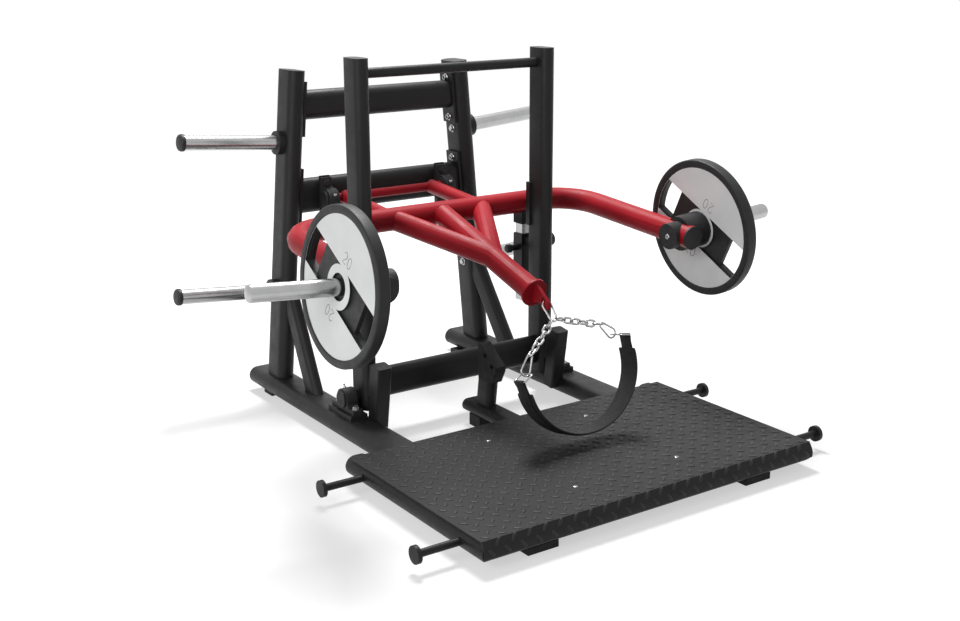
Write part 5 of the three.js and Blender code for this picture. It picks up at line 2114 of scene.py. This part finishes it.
    def stitches(self) -> Draft:
        """Sews two rows along the band's edges and one block over each strap end.

        Returns:
            The stitches.
        """
        lift = self.thickness / 2 - self.stitch_sink
        outer = self.course(lift)
        total = outer[-1][2]
        draft = Draft()
        for row in SIDES.values():
            wide = row * (self.width / 2 - self.stitch_inset)
            for number in range(int(total / self.stitch_pitch)):
                start = number * self.stitch_pitch
                ends = [
                    self.at_length(outer, length)
                    for length in (start, start + self.stitch_length)
                ]
                path = [self.point(end.x, end.y, wide) for end in ends]
                draft.add(wire(path, self.stitch_radius, self.stitch_sides))
        over = self.course(lift + self.strap_thickness)
        half = self.strap_width / 2 - self.block_inset
        for backwards in (True, False):
            for row in range(self.block_rows):
                start = self.block_from + self.block_pitch * row
                where = self.at_length(over, total - start if backwards else start)
                path = [self.point(where.x, where.y, wide) for wide in (-half, half)]
                draft.add(wire(path, self.stitch_radius, self.stitch_sides))
        return draft

    @staticmethod
    def at_length(course: Sequence[tuple[float, float, float]], length: float) -> Vector:
        """Finds the place at a length along a course.

        Args:
            course: X, way down and length at each station.
            length: Length asked for.

        Returns:
            X and way down there.
        """
        for (x0, d0, s0), (x1, d1, s1) in zip(course, course[1:]):
            if s1 >= length:
                share = (length - s0) / (s1 - s0)
                return Vector((x0 + (x1 - x0) * share, d0 + (d1 - d0) * share))
        return Vector(course[-1][:2])

    def build(self, maker: Maker) -> None:
        """Makes band, strap and stitches.

        Args:
            maker: Hands the pieces over.
        """
        pad = self.pad().build("hip_belt_pad", self.pad_sharp)
        maker.place(pad, Body.BELT_SET, Slot.WEBBING, ["belt"])
        strap = self.strap().build("hip_belt_strap", self.strap_sharp)
        maker.place(strap, Body.BELT_SET, Slot.WEBBING)
        thread = self.stitches().build("hip_belt_stitches", self.pad_sharp)
        thread.data.materials.append(maker.rack.of(Slot.HARD_PLASTIC))
        maker.place(thread, Body.BELT_SET, Slot.WEBBING)


@dataclass
class Lamp:
    """One soft box."""

    name: str
    place: tuple[float, float, float]
    target: tuple[float, float, float]
    width: float
    power: float

    def build(self) -> None:
        """Hangs the lamp."""
        light = bpy.data.lights.new(self.name, "AREA")
        light.shape = "SQUARE"
        light.size = self.width
        light.energy = self.power
        lamp = bpy.data.objects.new(self.name, light)
        lamp.location = self.place
        aim = Vector(self.target) - Vector(self.place)
        lamp.rotation_euler = aim.to_track_quat("-Z", "Y").to_euler()
        bpy.context.scene.collection.objects.link(lamp)


@dataclass
class Studio:
    """Pale floor, white surroundings, soft boxes and the camera."""

    floor_half: float = 30.0
    floor_drop: float = 0.0005
    floor_shade: float = 0.5
    floor_glow_near: float = 0.55
    floor_glow_far: float = 0.92
    glow_from: float = 0.9
    glow_to: float = 3.0
    ambient: float = 0.16
    camera_place: tuple[float, float, float] = (-2.29219, -3.28294, 1.53135)
    azimuth: float = math.radians(-34.34)
    elevation: float = math.radians(14.96)
    roll: float = math.radians(-0.24)
    lens: float = 48.83
    sensor: float = 36.0
    sight: float = 200.0
    shift_x: float = 0.00145
    shift_y: float = -0.0177
    lamps: tuple[Lamp, ...] = (
        Lamp("top_box", place=(0.6, 1.5, 4.1), target=(0.0, 0.0, 0.3), width=1.2, power=245.0),
        Lamp("left_box", place=(-4.2, -1.6, 2.0), target=(0.0, 0.0, 0.5), width=2.6, power=80.0),
    )

    def camera(self) -> None:
        """Sets the camera where the photograph was taken."""
        a, e, r = self.azimuth, self.elevation, self.roll
        back = Vector((math.sin(a) * math.cos(e), -math.cos(a) * math.cos(e), math.sin(e)))
        level = Vector((math.cos(a), math.sin(a), 0.0))
        rise = back.cross(level)
        right = level * math.cos(r) + rise * math.sin(r)
        up = rise * math.cos(r) - level * math.sin(r)
        data = bpy.data.cameras.new("camera")
        data.lens = self.lens
        data.sensor_width = self.sensor
        data.sensor_fit = "HORIZONTAL"
        data.shift_x = self.shift_x
        data.shift_y = self.shift_y
        data.clip_end = self.sight
        camera = bpy.data.objects.new("camera", data)
        turn = Matrix((right, up, back)).transposed().to_4x4()
        camera.matrix_world = Matrix.Translation(self.camera_place) @ turn
        bpy.context.scene.collection.objects.link(camera)
        bpy.context.scene.camera = camera

    def seen(self, tree: bpy.types.NodeTree) -> bpy.types.NodeSocket:
        """Tells whether a ray comes from the camera or through bright metal.

        Args:
            tree: Node tree that asks.

        Returns:
            One for such a ray.
        """
        path = add_node(tree, "ShaderNodeLightPath")
        most = path.outputs["Is Camera Ray"]
        for name in ("Is Glossy Ray", "Is Transmission Ray"):
            pick = add_node(tree, "ShaderNodeMath", operation="MAXIMUM")
            tree.links.new(most, pick.inputs[0])
            tree.links.new(path.outputs[name], pick.inputs[1])
            most = pick.outputs[0]
        return most

    def world(self) -> None:
        """Makes the surroundings: white where they show, a plain level for the light."""
        world = bpy.data.worlds.new("surroundings")
        world.use_nodes = True
        tree = world.node_tree
        tree.nodes.clear()
        output = add_node(tree, "ShaderNodeOutputWorld")
        mix = add_node(tree, "ShaderNodeMixShader")
        plain = add_node(tree, "ShaderNodeBackground")
        plain.inputs["Strength"].default_value = self.ambient
        bright = add_node(tree, "ShaderNodeBackground")
        for shade in (plain, bright):
            shade.inputs["Color"].default_value = (1.0, 1.0, 1.0, 1.0)
        for source, target in (
            (self.seen(tree), mix.inputs[0]),
            (plain.outputs[0], mix.inputs[1]),
            (bright.outputs[0], mix.inputs[2]),
            (mix.outputs[0], output.inputs["Surface"]),
        ):
            tree.links.new(source, target)
        bpy.context.scene.world = world

    def floor(self) -> None:
        """Lays the floor, which shows nearly white and keeps the machine's shadow."""
        half = self.floor_half
        corners = [
            Vector((x * half, y * half, -self.floor_drop))
            for x, y in ((-1, -1), (1, -1), (1, 1), (-1, 1))
        ]
        plane = Draft(corners, [(0, 1, 2, 3)]).build("studio_floor")
        material = bpy.data.materials.new("studio_floor")
        material.use_nodes = True
        tree = material.node_tree
        tree.nodes.clear()
        output = add_node(tree, "ShaderNodeOutputMaterial")
        matt = add_node(tree, "ShaderNodeBsdfDiffuse")
        level = self.floor_shade
        matt.inputs["Color"].default_value = (level, level, level, 1.0)
        glow = add_node(tree, "ShaderNodeEmission")
        scale = add_node(tree, "ShaderNodeMath", operation="MULTIPLY")
        places = add_node(tree, "ShaderNodeTexCoord")
        away = add_node(tree, "ShaderNodeVectorMath", operation="LENGTH")
        spread = add_node(tree, "ShaderNodeMapRange", interpolation_type="SMOOTHSTEP")
        for name, value in (
            ("From Min", self.glow_from),
            ("From Max", self.glow_to),
            ("To Min", self.floor_glow_near),
            ("To Max", self.floor_glow_far),
        ):
            spread.inputs[name].default_value = value
        both = add_node(tree, "ShaderNodeAddShader")
        for source, target in (
            (places.outputs["Object"], away.inputs[0]),
            (away.outputs["Value"], spread.inputs["Value"]),
            (spread.outputs["Result"], scale.inputs[1]),
            (self.seen(tree), scale.inputs[0]),
            (scale.outputs[0], glow.inputs["Strength"]),
            (matt.outputs[0], both.inputs[0]),
            (glow.outputs[0], both.inputs[1]),
            (both.outputs[0], output.inputs["Surface"]),
        ):
            tree.links.new(source, target)
        plane.data.materials.append(material)

    def build(self) -> None:
        """Sets up camera, surroundings, floor and lamps."""
        self.camera()
        self.world()
        self.floor()
        for lamp in self.lamps:
            lamp.build()
        bpy.context.scene.view_settings.view_transform = "Standard"


def main() -> None:
    """Dresses the frame, builds the made pieces in order and sets up the studio."""
    logging.basicConfig(level=logging.INFO, format="%(name)s %(message)s")
    for left_over in list(bpy.data.objects):
        bpy.data.objects.remove(left_over)
    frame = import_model()
    nodes = frame["nodes"]
    rack = FinishRack()
    maker = Maker(rack)
    Studio().build()
    FrameNodes(rack).dress(nodes, frame["record"])
    screws = PlatformScrews()
    screws.build(maker)
    TreadPattern().build(maker, screws.places())
    RearFrame().build(maker)
    Bearing().build(maker)
    horn = PlateHorn()
    horn.build(maker)
    WeightPlate().build(maker, horn)
    for link in (
        SnapLink("hook_snap_link", wide_outward=False, narrow_share=0.8),
        SnapLink("belt_snap_link_left"),
        SnapLink("belt_snap_link_right"),
    ):
        link.build(maker, nodes[link.node])
    Chain().build(maker)
    HipBelt().build(maker)


if __name__ == "__main__":
    main()
